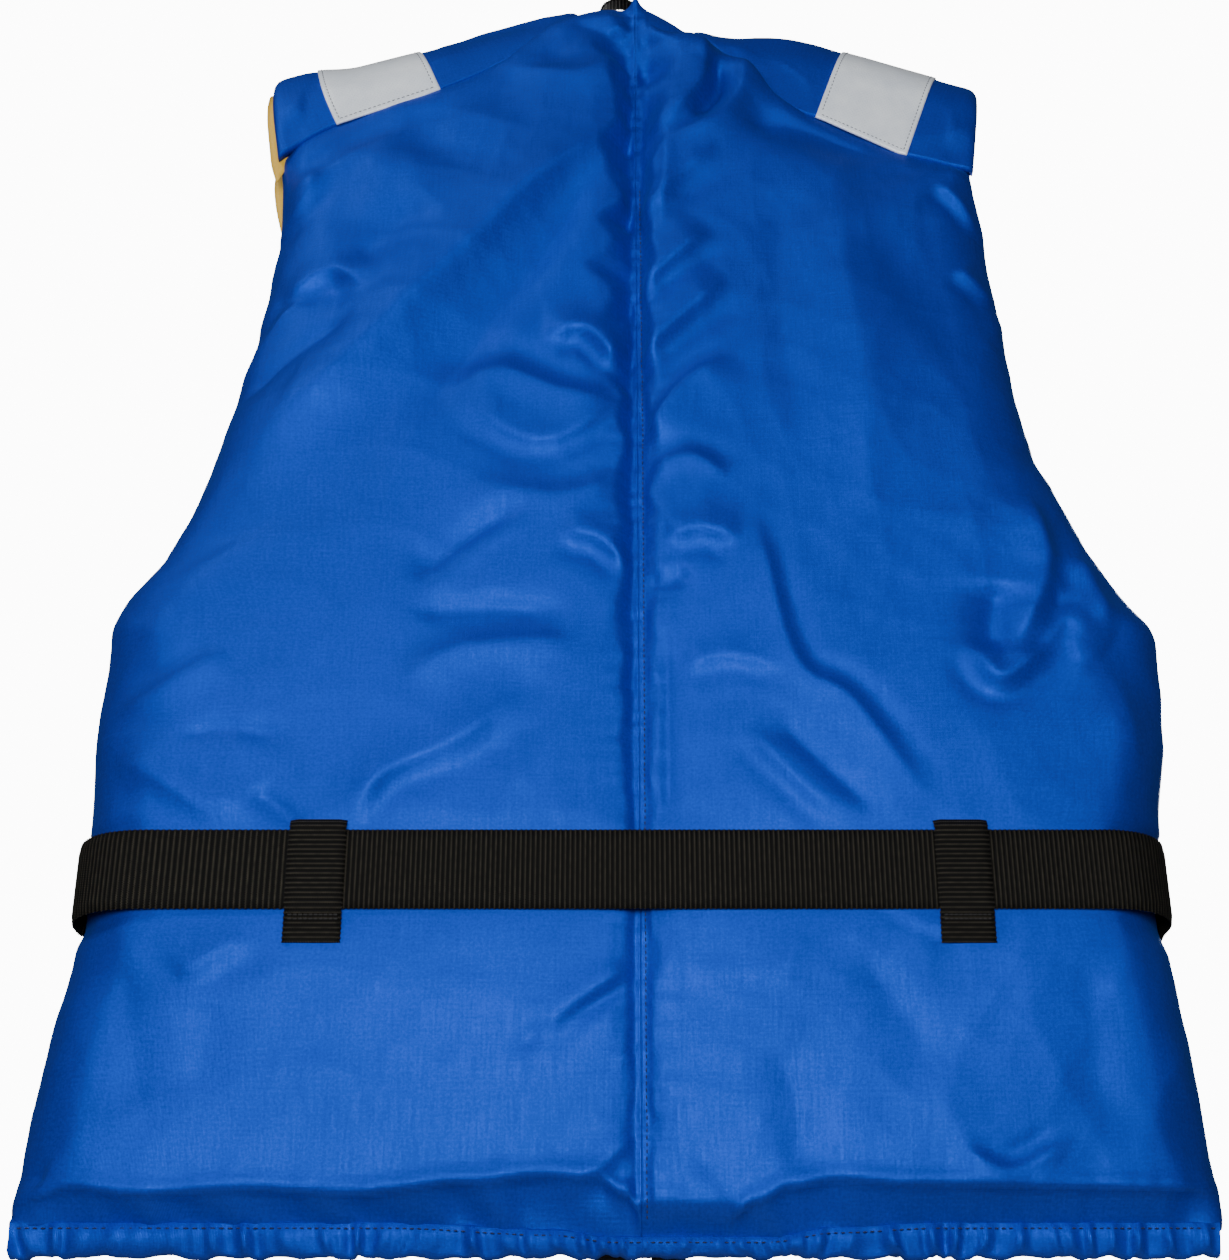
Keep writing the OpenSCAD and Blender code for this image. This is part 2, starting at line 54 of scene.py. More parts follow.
HOOK = np.array([0.0, 17.0, -22.0])   # from the vest's frame to the row frame
HEM_HALF, WAIST_HALF = 262.0, 250.0   # half widths at the hem and under the belt
UNDERARM = (252.0, -385.0)
CREASE_OUTER = (190.0, -106.0)
NECK_Z = 8.0
INNER_Y = 12.0                        # inner faces of the padding, behind and before y = 0
BACK_CROWN, FRONT_CROWN = 52.0, 54.0
HEM_Z = -686.0
FRONT_RISE = 8.0                      # the fronts end that much higher
FRONT_X = 16.0                        # where the fronts start beside the zip
ZIP_TOP, ZIP_Y = -190.0, 22.0
BELT_Z, BELT_W, BELT_T = -519.5, 38.0, 2.0
LOOP_W, LOOP_X, FRONT_LOOP_X = 25.0, 149.0, 200.0
SEAM_GAP = 0.4                        # half the gap between belt runs at the hinge line
HINGE_Y = 10.0

LEFT, RIGHT = -1, 1
SIDE_NAMES = {LEFT: "left", RIGHT: "right"}

# How far the sides of the worn, lying vest spread past the CAD's outline, by height
SPREAD = {
    LEFT: [(-690, 18), (-640, 19), (-593, 20), (-550, 17.5), (-538, 14), (-501, 14), (-489, 17), (-442, 18),
           (-397, 15), (-364, 22), (-343, 18), (-274, 15), (-239, 12.5), (-209, 9.5), (-173, 8.5), (-141, 6),
           (-121, 6), (-98, 9), (-60, 10), (20, 4)],
    RIGHT: [(-690, -5), (-648, -4), (-593, 0.5), (-555, 0.5), (-538, -3), (-501, -3), (-488, 3.5),
            (-442, 9.5), (-415, 10), (-364, 10.5), (-325, 8), (-305, 6), (-284, 2.5), (-204, 3), (-147, 1),
            (-115, -2), (20, -3)],
}
# The CAD's outline at each height
EDGE_X = [(-686, 262), (-640, 260), (-560, 251), (-420, 251.5), (-385, 252), (-354, 225), (-315, 207),
          (-260, 199.5), (-200, 195.5), (-106, 190), (20, 176)]

# --- small maths --------------------------------------------------------------


def smooth(low, high, value):
    """0 below low, 1 above high, and an S curve between them. low may be above high."""
    t = np.clip((np.asarray(value, float) - low) / (high - low), 0, 1)
    return t * t * (3 - 2 * t)


def by(pairs, value):
    """A smooth curve through (position, height) pairs, read at value."""
    at, high = np.array(sorted(pairs), float).T
    value = np.asarray(value, float)
    i = np.clip(np.searchsorted(at, value) - 1, 0, len(at) - 2)
    return high[i] + (high[i + 1] - high[i]) * smooth(0, 1, (value - at[i]) / (at[i + 1] - at[i]))


def round_edge(distance, radius):
    """Height of a quarter-round edge, from 0 at the edge to 1 a radius in."""
    return np.sqrt(1 - (1 - np.clip(distance / radius, 0, 1)) ** 2)


def spline(points, count=80):
    """count points, evenly spaced, along a smooth curve through the given points."""
    p = np.array(points, float)
    p = np.vstack([2 * p[0] - p[1], p, 2 * p[-1] - p[-2]])
    t = np.linspace(0, 1, 24, endpoint=False)[:, None]
    parts = [0.5 * (2 * b + (c - a) * t + (2 * a - 5 * b + 4 * c - d) * t ** 2
                    + (3 * b - a - 3 * c + d) * t ** 3)
             for a, b, c, d in zip(p, p[1:], p[2:], p[3:])]
    return evenly(np.vstack(parts + [p[-2:-1]]), count)


def lengths(line):
    """Distance along a line at each of its points."""
    return np.concatenate([[0], np.cumsum(np.linalg.norm(np.diff(line, axis=0), axis=1))])


def evenly(line, count, shares=None):
    """A line read at count even shares of its length, or at the given shares."""
    line = np.asarray(line, float)
    run = lengths(line)
    wanted = (np.linspace(0, 1, count) if shares is None else shares) * run[-1]
    return np.column_stack([np.interp(wanted, run, line[:, k]) for k in range(line.shape[1])])


def cubic(a, b, c, d, count=24):
    """Points of a cubic curve from a to d."""
    t = np.linspace(0, 1, count)[:, None]
    a, b, c, d = (np.array(p, float) for p in (a, b, c, d))
    return (1 - t) ** 3 * a + 3 * (1 - t) ** 2 * t * b + 3 * (1 - t) * t ** 2 * c + t ** 3 * d


def to_line(points, line):
    """Distance of each point from a line, all in X and Z."""
    flat = points.reshape(-1, 2)
    a, b = line[:-1], line[1:]
    best = np.full(len(flat), np.inf)
    for start, end in zip(a, b):
        along = end - start
        t = np.clip(((flat - start) @ along) / (along @ along + 1e-9), 0, 1)
        best = np.minimum(best, np.linalg.norm(flat - start - t[:, None] * along, axis=1))
    return best.reshape(points.shape[:-1])


def shares(length, step, fine_start, fine_end):
    """Shares of a border from 0 to 1, closer together near an end that is fine."""
    s = np.linspace(0, length, 800)
    density = 1 + 1.8 * fine_start * np.exp(-s / 14) + 1.8 * fine_end * np.exp(-(length - s) / 14)
    run = np.concatenate([[0], np.cumsum((density[1:] + density[:-1]) / 2)])
    count = int(round(length / step * run[-1] / len(s)))
    return np.interp(np.linspace(0, 1, count), run / run[-1], s / length)


def coons(bottom, top, inner, outer, u, v):
    """A smooth patch between four border lines; u runs inner to outer, v bottom to top."""
    b, t = evenly(bottom, 0, u), evenly(top, 0, u)
    i, o = evenly(inner, 0, v), evenly(outer, 0, v)
    u, v = u[None, :, None], v[:, None, None]
    corners = (1 - u) * (1 - v) * b[0] + u * (1 - v) * b[-1] + (1 - u) * v * t[0] + u * v * t[-1]
    return (1 - v) * b[None] + v * t[None] + (1 - u) * i[:, None] + u * o[:, None] - corners


def refine(grid):
    """Puts a smoothly placed point between every two points of a grid, both ways."""
    for _ in range(2):
        g = np.concatenate([2 * grid[:1] - grid[1:2], grid, 2 * grid[-1:] - grid[-2:-1]])
        middle = (9 * (g[1:-2] + g[2:-1]) - g[:-3] - g[3:]) / 16
        finer = np.empty((2 * len(grid) - 1,) + grid.shape[1:])
        finer[::2], finer[1::2] = grid, middle
        grid = finer.swapaxes(0, 1)
    return grid


def waves(position, seed, shortest, longest, count=7):
    """An uneven wave between about -1 and 1 along a position, the same each run."""
    rng = np.random.default_rng(seed)
    total = np.zeros_like(np.asarray(position, float))
    for _ in range(count):
        total += np.sin(position * 2 * np.pi / rng.uniform(shortest, longest) + rng.uniform(0, 2 * np.pi))
    return total / math.sqrt(count) / 1.2


def crumple(x, z, seed, shortest, longest, count=9):
    """Soft creases in all directions, mean about 0."""
    rng = np.random.default_rng(seed)
    total = np.zeros_like(x)
    for _ in range(count):
        turn, wave = rng.uniform(0, np.pi), rng.uniform(shortest, longest)
        across = x * math.cos(turn) + z * math.sin(turn)
        along = z * math.cos(turn) - x * math.sin(turn)
        bend = across + 0.25 * wave * np.sin(along / (0.55 * wave) + rng.uniform(0, 6))
        fade = 0.5 + 0.5 * np.sin(along / (0.8 * wave) + rng.uniform(0, 6))
        total += fade * ((1 - np.abs(np.sin(bend * np.pi / wave + rng.uniform(0, 6)))) ** 2 - 0.25)
    return total / math.sqrt(count)


def folds_height(x, z, folds):
    """Height in mm that folds add. A fold is (points in X and Z, width at its start, width at its end,
    height, lean): it is a ridge, or a hollow if its height is below 0. lean from -1 to 1 steepens the flank
    on the right (+) or left (-) of its direction and sinks a hollow beside it."""
    total = np.zeros(x.shape)
    flat = np.stack([x, z], -1)
    for points, wide_start, wide_end, high, lean in folds:
        wide_start, wide_end = 1.25 * wide_start, 1.25 * wide_end
        line = spline(points, 70)
        reach = 6 * max(wide_start, wide_end)
        near = ((x > line[:, 0].min() - reach) & (x < line[:, 0].max() + reach)
                & (z > line[:, 1].min() - reach) & (z < line[:, 1].max() + reach))
        p = flat[near]
        closest = np.argmin(((p[:, None] - line[None]) ** 2).sum(-1), axis=1)
        tangent = np.gradient(line, axis=0)
        tangent /= np.linalg.norm(tangent, axis=1)[:, None]
        away = p - line[closest]
        t = np.clip(closest / 69 + (away * tangent[closest]).sum(-1) / lengths(line)[-1], -0.2, 1.2)
        side = away[:, 0] * tangent[closest, 1] - away[:, 1] * tangent[closest, 0]
        wide = wide_start + (wide_end - wide_start) * np.clip(t, 0, 1)
        steep = wide * np.where(side * lean > 0, 1 - 0.5 * abs(lean), 1 + 1.3 * abs(lean))
        crest = np.exp(-np.abs(side / steep) ** 1.5)
        trough = abs(lean) * 0.5 * np.exp(-((side * np.sign(lean or 1) - 1.7 * wide) / (0.9 * wide)) ** 2)
        ends = smooth(-0.06, 0.22, t) * smooth(1.06, 0.72, t)
        total[near] += high * ends * (crest - trough)
    return total


# --- meshes -------------------------------------------------------------------


def lie(points):
    """Spreads the sides as the vest lies; the front's half of the depth moves only a little."""
    out = np.array(points, float)
    x, y, z = out.T
    edge = np.interp(z, *np.array(EDGE_X).T)
    reach = smooth(edge - 110, edge, np.abs(x)) * (1 - 0.8 * smooth(-12, 12, y))
    out[:, 0] = x + np.where(x < 0, -by(SPREAD[LEFT], z), by(SPREAD[RIGHT], z)) * reach
    return out


def metres(points):
    return (lie(np.asarray(points, float).reshape(-1, 3)) + HOOK) / 1000


def grid_faces(rows, cols, start=0, around=False, flip=False):
    """Quads of a grid; around joins its last column to its first."""
    i = np.arange(rows * cols).reshape(rows, cols) + start
    if around:
        i = np.column_stack([i, i[:, 0]])
    f = np.stack([i[:-1, :-1], i[:-1, 1:], i[1:, 1:], i[1:, :-1]], -1).reshape(-1, 4)
    return (f[:, ::-1] if flip else f).tolist()


def add_mesh(name, points, faces, material, cloth=None, flat=False):
    """A mesh object from points in mm. cloth holds each point's place on the flat fabric, in mm."""
    mesh = bpy.data.meshes.new(name)
    mesh.from_pydata(metres(points).tolist(), [], faces)
    mesh.validate()
    if cloth is not None:
        place = mesh.attributes.new("cloth", "FLOAT_VECTOR", "POINT")
        place.data.foreach_set("vector", np.ascontiguousarray(cloth, np.float32).ravel())
    mesh.polygons.foreach_set("use_smooth", [not flat] * len(mesh.polygons))
    mesh.materials.append(material)
    piece = bpy.data.objects.new(name, mesh)
    bpy.context.scene.collection.objects.link(piece)
    return piece


def on_cloth(u, v):
    return np.stack([np.ravel(u), np.ravel(v), np.zeros(np.size(u))], -1)


def normals_of(grid):
    """Unit normals of a grid of points."""
    n = np.cross(np.gradient(grid, axis=1), np.gradient(grid, axis=0))
    return n / (np.linalg.norm(n, axis=-1, keepdims=True) + 1e-9)


def shell(name, outer, inner, material, cloth):
    """A closed piece from two grids of the same size, joined round their rims."""
    rows, cols = outer.shape[:2]
    n = rows * cols
    i = np.arange(n).reshape(rows, cols)
    rim = np.concatenate([i[0], i[1:, -1], i[-1, -2::-1], i[-2:0:-1, 0]])
    after = np.roll(rim, -1)
    faces = grid_faces(rows, cols) + grid_faces(rows, cols, n, flip=True)
    faces += np.stack([after, rim, rim + n, after + n], -1).tolist()
    points = np.concatenate([outer.reshape(-1, 3), inner.reshape(-1, 3)])
    return add_mesh(name, points, faces, material, np.concatenate([cloth, cloth]))


def facing(piece):
    """Turns a closed mesh's faces outward."""
    import bmesh
    b = bmesh.new()
    b.from_mesh(piece.data)
    bmesh.ops.recalc_face_normals(b, faces=b.faces)
    b.to_mesh(piece.data)
    b.free()
    return piece


def thicken(piece, thickness):
    """Gives a sheet its thickness, in mm, half to either side."""
    thick = piece.modifiers.new("cloth thickness", "SOLIDIFY")
    thick.thickness, thick.offset = thickness / 1000, 0


def strap(name, line, across, width, thick, material, rib=2.3, high=0.28):
    """Ribbed webbing along a line of its mid-surface; across is the direction of its width."""
    step = rib / 5
    count = max(int(lengths(line)[-1] / step), 8)
    line = evenly(line, count)
    run = lengths(line)
    tangent = np.gradient(line, axis=0)
    tangent /= np.linalg.norm(tangent, axis=1)[:, None]
    across = np.array(across, float)
    normal = np.cross(tangent, across)
    ridge = high * (0.5 + 0.5 * np.cos(run * 2 * np.pi / rib)) - high
    rows = 9
    s = np.linspace(-1, 1, rows)
    edge = np.sqrt(1 - np.clip((np.abs(s) - 0.955) / 0.045, 0, 0.96) ** 2)
    nick = 0.25 * np.cos(run * 2 * np.pi / rib)
    outside = np.concatenate([np.full(rows, 1.0), np.full(rows, -1.0)])
    place = np.concatenate([s, s[::-1]])
    lift = np.concatenate([edge, edge[::-1]])
    reach = width / 2 * place[None] + nick[:, None] * (np.abs(place) > 0.99) * place
    rise = outside * (thick / 2 + ridge[:, None]) * lift[None]
    points = line[:, None] + across * reach[..., None] + normal[:, None] * rise[..., None]
    n = 2 * rows
    faces = grid_faces(count, n, around=True)
    faces += [list(range(n))[::-1], [(count - 1) * n + k for k in range(n)]]
    cloth = on_cloth(np.repeat(run, n), np.tile(width / 2 * place, count))
    return facing(add_mesh(name, points.reshape(-1, 3), faces, material, cloth))


def turns(corners, radii, count=14):
    """A line through corners, with each one rounded to its radius."""
    corners = [np.array(c, float) for c in corners]
    line = [corners[0]]
    for before, corner, after, r in zip(corners, corners[1:], corners[2:], radii):
        a, b = before - corner, after - corner
        a, b = a / np.linalg.norm(a), b / np.linalg.norm(b)
        half = math.acos(np.clip(a @ b, -1, 1)) / 2
        back = r / math.tan(half)
        centre = corner + (a + b) / np.linalg.norm(a + b) * r / math.sin(half)
        p, q = corner + a * back - centre, corner + b * back - centre
        whole = math.pi - 2 * half
        for t in np.linspace(0, 1, count):
            line.append(centre + (p * math.sin((1 - t) * whole) + q * math.sin(t * whole)) / math.sin(whole))
    return np.array(line + [corners[-1]])


def stitches(name, line, normal, material, pitch=3.0, length=2.0, thick=0.32):
    """A row of thread stitches lying on a line; normal points away from the cloth at each point."""
    run = lengths(line)
    count = max(int(run[-1] / pitch), 1)
    shares_at = (np.arange(count) + 0.5) / count
    middle = evenly(line, 0, shares_at)
    up = np.column_stack([np.interp(shares_at * run[-1], run, normal[:, k]) for k in range(3)])
    near = 0.3 / count
    ahead = (evenly(line, 0, np.clip(shares_at + near, 0, 1))
             - evenly(line, 0, np.clip(shares_at - near, 0, 1)))
    ahead /= np.linalg.norm(ahead, axis=1)[:, None] + 1e-9
    beside = np.cross(ahead, up)
    rings, around = 5, 6
    points, faces = [], []
    turn = np.arange(around) * 2 * np.pi / around
    for k in range(count):
        start = len(points)
        for j in range(rings):
            s = -1 + 2 * j / (rings - 1)
            fat = thick * (0.35 + 0.65 * math.sqrt(1 - s * s))
            centre = middle[k] + ahead[k] * s * length / 2 + up[k] * thick * (0.75 * (1 - s * s) - 0.35)
            for a in turn:
                points.append(centre + fat * (beside[k] * math.cos(a) + up[k] * 0.8 * math.sin(a)))
        faces += grid_faces(rings, around, start, around=True)
        last = start + (rings - 1) * around
        faces += [[start + i for i in range(around)][::-1], [last + i for i in range(around)]]
    points = np.array(points)
    return facing(add_mesh(name, points, faces, material, on_cloth(points[:, 0], points[:, 2])))


# --- materials ----------------------------------------------------------------


class Nodes:
    """Short forms for building one material's nodes."""

    def __init__(self, name, color, roughness):
        self.material = bpy.data.materials.new(name)
        self.material.use_nodes = True
        self.tree = self.material.node_tree
        self.shader = self.tree.nodes["Principled BSDF"]
        self.shader.inputs["Base Color"].default_value = (*color, 1)
        self.shader.inputs["Roughness"].default_value = roughness

    def node(self, kind, **inputs):
        made = self.tree.nodes.new("ShaderNode" + kind)
        for name, value in inputs.items():
            self.put(made.inputs[name.replace("_", " ")], value)
        return made

    def put(self, socket, value):
        if isinstance(value, bpy.types.NodeSocket):
            self.tree.links.new(value, socket)
        else:
            socket.default_value = value

    def math(self, operation, a, b=0.0, c=0.0):
        made = self.tree.nodes.new("ShaderNodeMath")
        made.operation = operation
        for socket, value in zip(made.inputs, (a, b, c)):
            self.put(socket, value)
        return made.outputs[0]

    def mix(self, share, a, b):
        made = self.tree.nodes.new("ShaderNodeMix")
        made.data_type = "RGBA"
        self.put(made.inputs["Factor"], share)
        self.put(made.inputs["A"], (*a, 1) if isinstance(a, tuple) else a)
        self.put(made.inputs["B"], (*b, 1) if isinstance(b, tuple) else b)
        return made.outputs["Result"]

    def ramp(self, value, low, high, low_out=0.0, high_out=1.0):
        made = self.node("MapRange", Value=value)
        limits = {"From Min": low, "From Max": high, "To Min": low_out, "To Max": high_out}
        for name, number in limits.items():
            made.inputs[name].default_value = number
        return made.outputs[0]

    def noise(self, vector, scale, detail=3.0, roughness=0.5):
        made = self.node("TexNoise", Vector=vector, Scale=scale, Detail=detail, Roughness=roughness)
        return made.outputs["Fac"]

    def cloth(self):
        """The place on the flat cloth in mm, and its two parts."""
        attribute = self.tree.nodes.new("ShaderNodeAttribute")
        attribute.attribute_name = "cloth"
        parts = self.node("SeparateXYZ", Vector=attribute.outputs["Vector"])
        return attribute.outputs["Vector"], parts.outputs[0], parts.outputs[1]

    def place(self):
        """The place on the object, in metres."""
        return self.tree.nodes.new("ShaderNodeTexCoord").outputs["Object"]

    def thread(self, value, pitch):
        """A smooth wave from 0 to 1 that repeats every pitch."""
        angle = self.math("MULTIPLY", value, 2 * math.pi / pitch)
        return self.math("MULTIPLY_ADD", self.math("SINE", angle), 0.5, 0.5)

    def bump(self, height, distance, strength=1.0):
        made = self.node("Bump", Height=height, Distance=distance, Strength=strength)
        self.tree.links.new(made.outputs[0], self.shader.inputs["Normal"])

    def set(self, **inputs):
        for name, value in inputs.items():
            self.put(self.shader.inputs[name.replace("_", " ")], value)
        return self.material


def woven(name, color, deep, roughness, sheen, pitch=0.5, weave=0.00008, sheen_tint=(0.4, 0.6, 1.0),
          gloss_tint=(1.0, 1.0, 1.0), satin=0.0):
    """Plain-woven nylon: two sets of threads, a little unevenness in dye and gloss, and soft sheen."""
    m = Nodes(name, color, roughness)
    vector, across, along = m.cloth()
    uneven = m.noise(vector, 0.013, 2)
    slub = m.noise(m.node("Mapping", Vector=vector, Scale=(0.9, 0.05, 1)).outputs[0], 1.0, 2)
    slub_along = m.noise(m.node("Mapping", Vector=vector, Scale=(0.05, 0.9, 1)).outputs[0], 1.0, 2)
    warp, weft = m.thread(across, pitch), m.thread(along, pitch)
    over = m.math("MULTIPLY", warp, weft)
    shade = m.math("ADD", m.ramp(uneven, 0.3, 0.7, 0.0, 0.35), m.ramp(over, 0, 1, 0.35, 0.0))
    shade = m.math("ADD", shade, m.ramp(m.math("ADD", slub, slub_along), 0.7, 1.3, 0.0, 0.28))
    grain_fine = m.noise(vector, 0.75, 2, 0.7)
    shade = m.math("ADD", shade, m.ramp(grain_fine, 0.35, 0.65, -0.2, 0.35))
    m.set(Base_Color=m.mix(shade, color, deep),
          Roughness=m.ramp(slub, 0.3, 0.7, roughness - 0.05, roughness + 0.06))
    m.set(Metallic=satin, Sheen_Weight=sheen, Sheen_Roughness=0.35, Sheen_Tint=(*sheen_tint, 1),
          Specular_IOR_Level=0.9, Specular_Tint=(*gloss_tint, 1))
    grain = m.math("ADD", over, m.math("MULTIPLY", m.math("ADD", slub, slub_along), 0.8))
    m.bump(grain, weave)
    return m.material


def webbing(name, color, dot_highlight, rib=2.3, dots=1.1):
    """Black ribbed webbing: each rib is a row of dots of yarn between black gaps; the dots get a lighter
    colour that is a painted highlight, stronger in some patches than others.
    """
    m = Nodes(name, color, 0.7)
    vector, along, across = m.cloth()
    row = m.math("FLOOR", m.math("DIVIDE", along, rib))
    odd = m.math("FRACT", m.math("MULTIPLY", row, 0.5))
    on_rib = m.math("POWER", m.thread(m.math("ADD", along, rib / 4), rib), 1.6)
    on_dot = m.thread(m.math("MULTIPLY_ADD", odd, dots, across), dots)
    yarn = m.math("MULTIPLY", on_rib, on_dot)
    patchy = m.noise(vector, 0.35, 4)
    # tone says where the painted highlight on the yarn dots shows and how strong it is in each patch; the
    # base colour mixes the black webbing towards that painted highlight colour
    tone = m.math("MULTIPLY", m.ramp(yarn, 0.35, 1, 0, 1), m.ramp(patchy, 0.3, 0.7, 0.3, 1.0))
    m.set(Base_Color=m.mix(tone, color, dot_highlight), Roughness=m.ramp(yarn, 0, 1, 0.75, 0.42))
    m.set(Specular_IOR_Level=0.1)
    m.bump(m.math("MULTIPLY_ADD", patchy, 0.3, yarn), 0.0004)
    return m.material


def reflective(name):
    """Silver tape of small glass beads under a clear film, with a faint net pattern."""
    m = Nodes(name, (0.60, 0.62, 0.66), 0.32)
    vector, across, along = m.cloth()
    beads = m.node("TexVoronoi", Vector=vector, Scale=1.6).outputs["Distance"]
    dull = m.noise(vector, 0.05, 5, 0.6)
    one_way, other_way = m.math("ADD", across, along), m.math("SUBTRACT", across, along)
    net = m.math("MULTIPLY", m.thread(one_way, 2.4), m.thread(other_way, 2.4))
    tone = m.math("ADD", m.ramp(dull, 0.35, 0.65, 0, 0.55), m.ramp(net, 0, 1, 0, 0.25))
    m.set(Base_Color=m.mix(tone, (0.90, 0.95, 1.0), (0.63, 0.69, 0.79)),
          Roughness=m.ramp(dull, 0.3, 0.7, 0.26, 0.46))
    m.set(Specular_IOR_Level=1.0, Coat_Weight=0.25, Coat_Roughness=0.2, Sheen_Weight=0.4, Sheen_Roughness=0.3)
    m.bump(m.math("ADD", m.math("MULTIPLY", beads, 0.5), dull), 0.00018)
    return m.material


def moulded(name, color, grain=900.0, roughness=0.42, metal=0.0):
    """Moulded plastic or painted metal with a fine grain and a little dust."""
    m = Nodes(name, color, roughness)
    place = m.place()
    fine, broad = m.noise(place, grain, 2), m.noise(place, 45.0, 4)
    light = tuple(min(1.0, 2.6 * c + 0.012) for c in color)
    m.set(Base_Color=m.mix(m.ramp(broad, 0.45, 0.75, 0, 0.5), color, light),
          Roughness=m.ramp(broad, 0.3, 0.7, roughness - 0.08, roughness + 0.14), Metallic=metal)
    m.bump(m.math("MULTIPLY_ADD", broad, 0.6, fine), 0.00006)
    return m.material


def thread(name, color):
    """Twisted sewing thread."""
    m = Nodes(name, color, 0.5)
    _, across, along = m.cloth()
    twist = m.thread(m.math("ADD", across, along), 0.35)
    m.set(Base_Color=m.mix(twist, color, tuple(0.45 * c for c in color)), Sheen_Weight=0.1)
    m.bump(twist, 0.00008)
    return m.material


BLUE = woven("cover_nylon", (0.016, 0.052, 0.53), (0.010, 0.028, 0.34), 0.45, 0.04,
             sheen_tint=(0.05, 0.4, 1.0), gloss_tint=(0.03, 0.42, 0.95), satin=0.38)
YELLOW = woven("lining_nylon", (0.85, 0.52, 0.035), (0.74, 0.42, 0.02), 0.5, 0.05, sheen_tint=(1, 0.9, 0.5))
# the second colour of each webbing is the painted highlight on its yarn dots
WEBBING = webbing("belt_webbing", (0.0025, 0.0025, 0.0024), (0.12, 0.105, 0.075))
ELASTIC = webbing("elastic_band", (0.006, 0.006, 0.006), (0.03, 0.03, 0.03), rib=1.2, dots=0.8)
ZIP_TAPE = woven("zip_tape_weave", (0.010, 0.010, 0.011), (0.004, 0.004, 0.005), 0.6, 0.05, 0.7, 0.0001,
                 sheen_tint=(1, 1, 1))
SILVER = reflective("reflective_tape")
PLASTIC = moulded("black_acetal", (0.014, 0.014, 0.016))
PAINTED = moulded("painted_zinc", (0.016, 0.016, 0.018), 400.0, 0.3, 0.3)
BLUE_THREAD = thread("blue_thread", (0.003, 0.012, 0.07))
BLACK_THREAD = thread("black_thread", (0.004, 0.004, 0.005))
GREY_THREAD = thread("grey_thread", (0.22, 0.23, 0.27))

# --- the padded halves --------------------------------------------------------

# Heights across the back of the line where the padding is sewn to the hem's casing, and of the lip where
# the padding starts to drop to that line
STITCH_Z = [(-280, -676), (-110, -676), (-40, -679), (-12, -682), (55, -682), (85, -678), (130, -676),
            (280, -676)]
LIP_Z = [(-285, -671), (-262, -669), (-232, -661), (-208, -664), (-175, -662), (-125, -664), (-75, -659),
         (-42, -656), (-20, -657), (-8, -664), (2, -675), (20, -680), (36, -674), (50, -667), (64, -661),
         (85, -658), (118, -660), (185, -661), (285, -662)]
FRONT_FOOT_Z = -668.0                 # the same line on the fronts

# Top edge of the back's padding: round the neck, then along the crease below the shoulder strap
NECK_TOP = {
    LEFT: [(0, NECK_Z), (18, NECK_Z), (34, 3.5), (50, -3), (64, -16)],
    RIGHT: [(0, NECK_Z), (10, 6.5), (22, -1.5), (34, -11), (50, -22), (66, -38)],
}
CREASE = {
    LEFT: [(76, -29), (92, -39), (119, -54), (164, -75), (190, -91)],
    RIGHT: [(79, -53), (97, -65), (122, -79), (149, -94), (172, -100), (190, -103)],
}


def armhole(front):
    inward = 12 if front else 0
    return cubic(UNDERARM, (190 if front else 205, -340 if front else -330), (197 - inward, -240),
                 (CREASE_OUTER[0], CREASE_OUTER[1] - (2 if front else 0)))


def borders(side, front):
    """The four borders of a padded half in X and Z: bottom, top, inner and outer. X is made positive."""
    foot = FRONT_FOOT_Z if front else None
    x = np.linspace(FRONT_X if front else 0, HEM_HALF, 40)
    bottom = np.column_stack([x, np.full(40, foot) if front else by(STITCH_Z, side * x)])
    outer = np.vstack([[HEM_HALF, bottom[-1, 1]], [HEM_HALF - 2, -640], [WAIST_HALF + 1, -560],
                       [WAIST_HALF, -519], [WAIST_HALF, -480], [WAIST_HALF + 1.5, -420], armhole(front)])
    if not front:
        outer[-1] = CREASE[side][-1]
    outer = spline(outer, 300)
    for _ in range(40):
        outer[1:-1] = (outer[2:] + 2 * outer[1:-1] + outer[:-2]) / 4
    if front:
        top = np.array([(88, -59), CREASE_OUTER], float) - [0, 2]
        neck = cubic((88, -59), (66, -120), (44, -160), (FRONT_X, ZIP_TOP + 4))[::-1]
        inner = np.vstack([[FRONT_X, foot], neck])
    else:
        inner = np.array([(0, bottom[0, 1]), (0, NECK_Z)], float)
        top = spline(NECK_TOP[side] + CREASE[side], 140)
    return bottom, top, evenly(inner, 200), outer


# The valley along the centre seam, by height
VALLEY_DEEP = [(8, 1.5), (-12, 7), (-40, 15), (-95, 16), (-180, 13), (-280, 9), (-400, 6), (-520, 4),
               (-620, 4), (-690, 5)]
VALLEY_WIDE = {
    LEFT: [(8, 16), (-15, 23), (-60, 15), (-100, 19), (-135, 16), (-180, 24), (-235, 19), (-280, 10),
           (-330, 13), (-400, 11), (-500, 7), (-600, 6), (-690, 6)],
    RIGHT: [(8, 14), (-40, 24), (-80, 22), (-110, 10), (-200, 9), (-280, 12), (-400, 10), (-500, 8),
            (-690, 7)],
}


SWELL = 5.0                           # how much the padding swells later
FALL_STOP = 30.0                      # the least depth of the back at the hem's stitch line


def belt_limit(z, at_belt, more):
    """How deep the padding may stand: at_belt under the belt, and more away from it."""
    return at_belt + more * smooth(-3, 45, np.abs(z - BELT_Z) - BELT_W / 2 - 1)


def soft_min(a, b, blend=1.5):
    """About the smaller of two depths, with the change rounded over."""
    return (a + b - np.sqrt((a - b) ** 2 + blend ** 2)) / 2 + 0.2


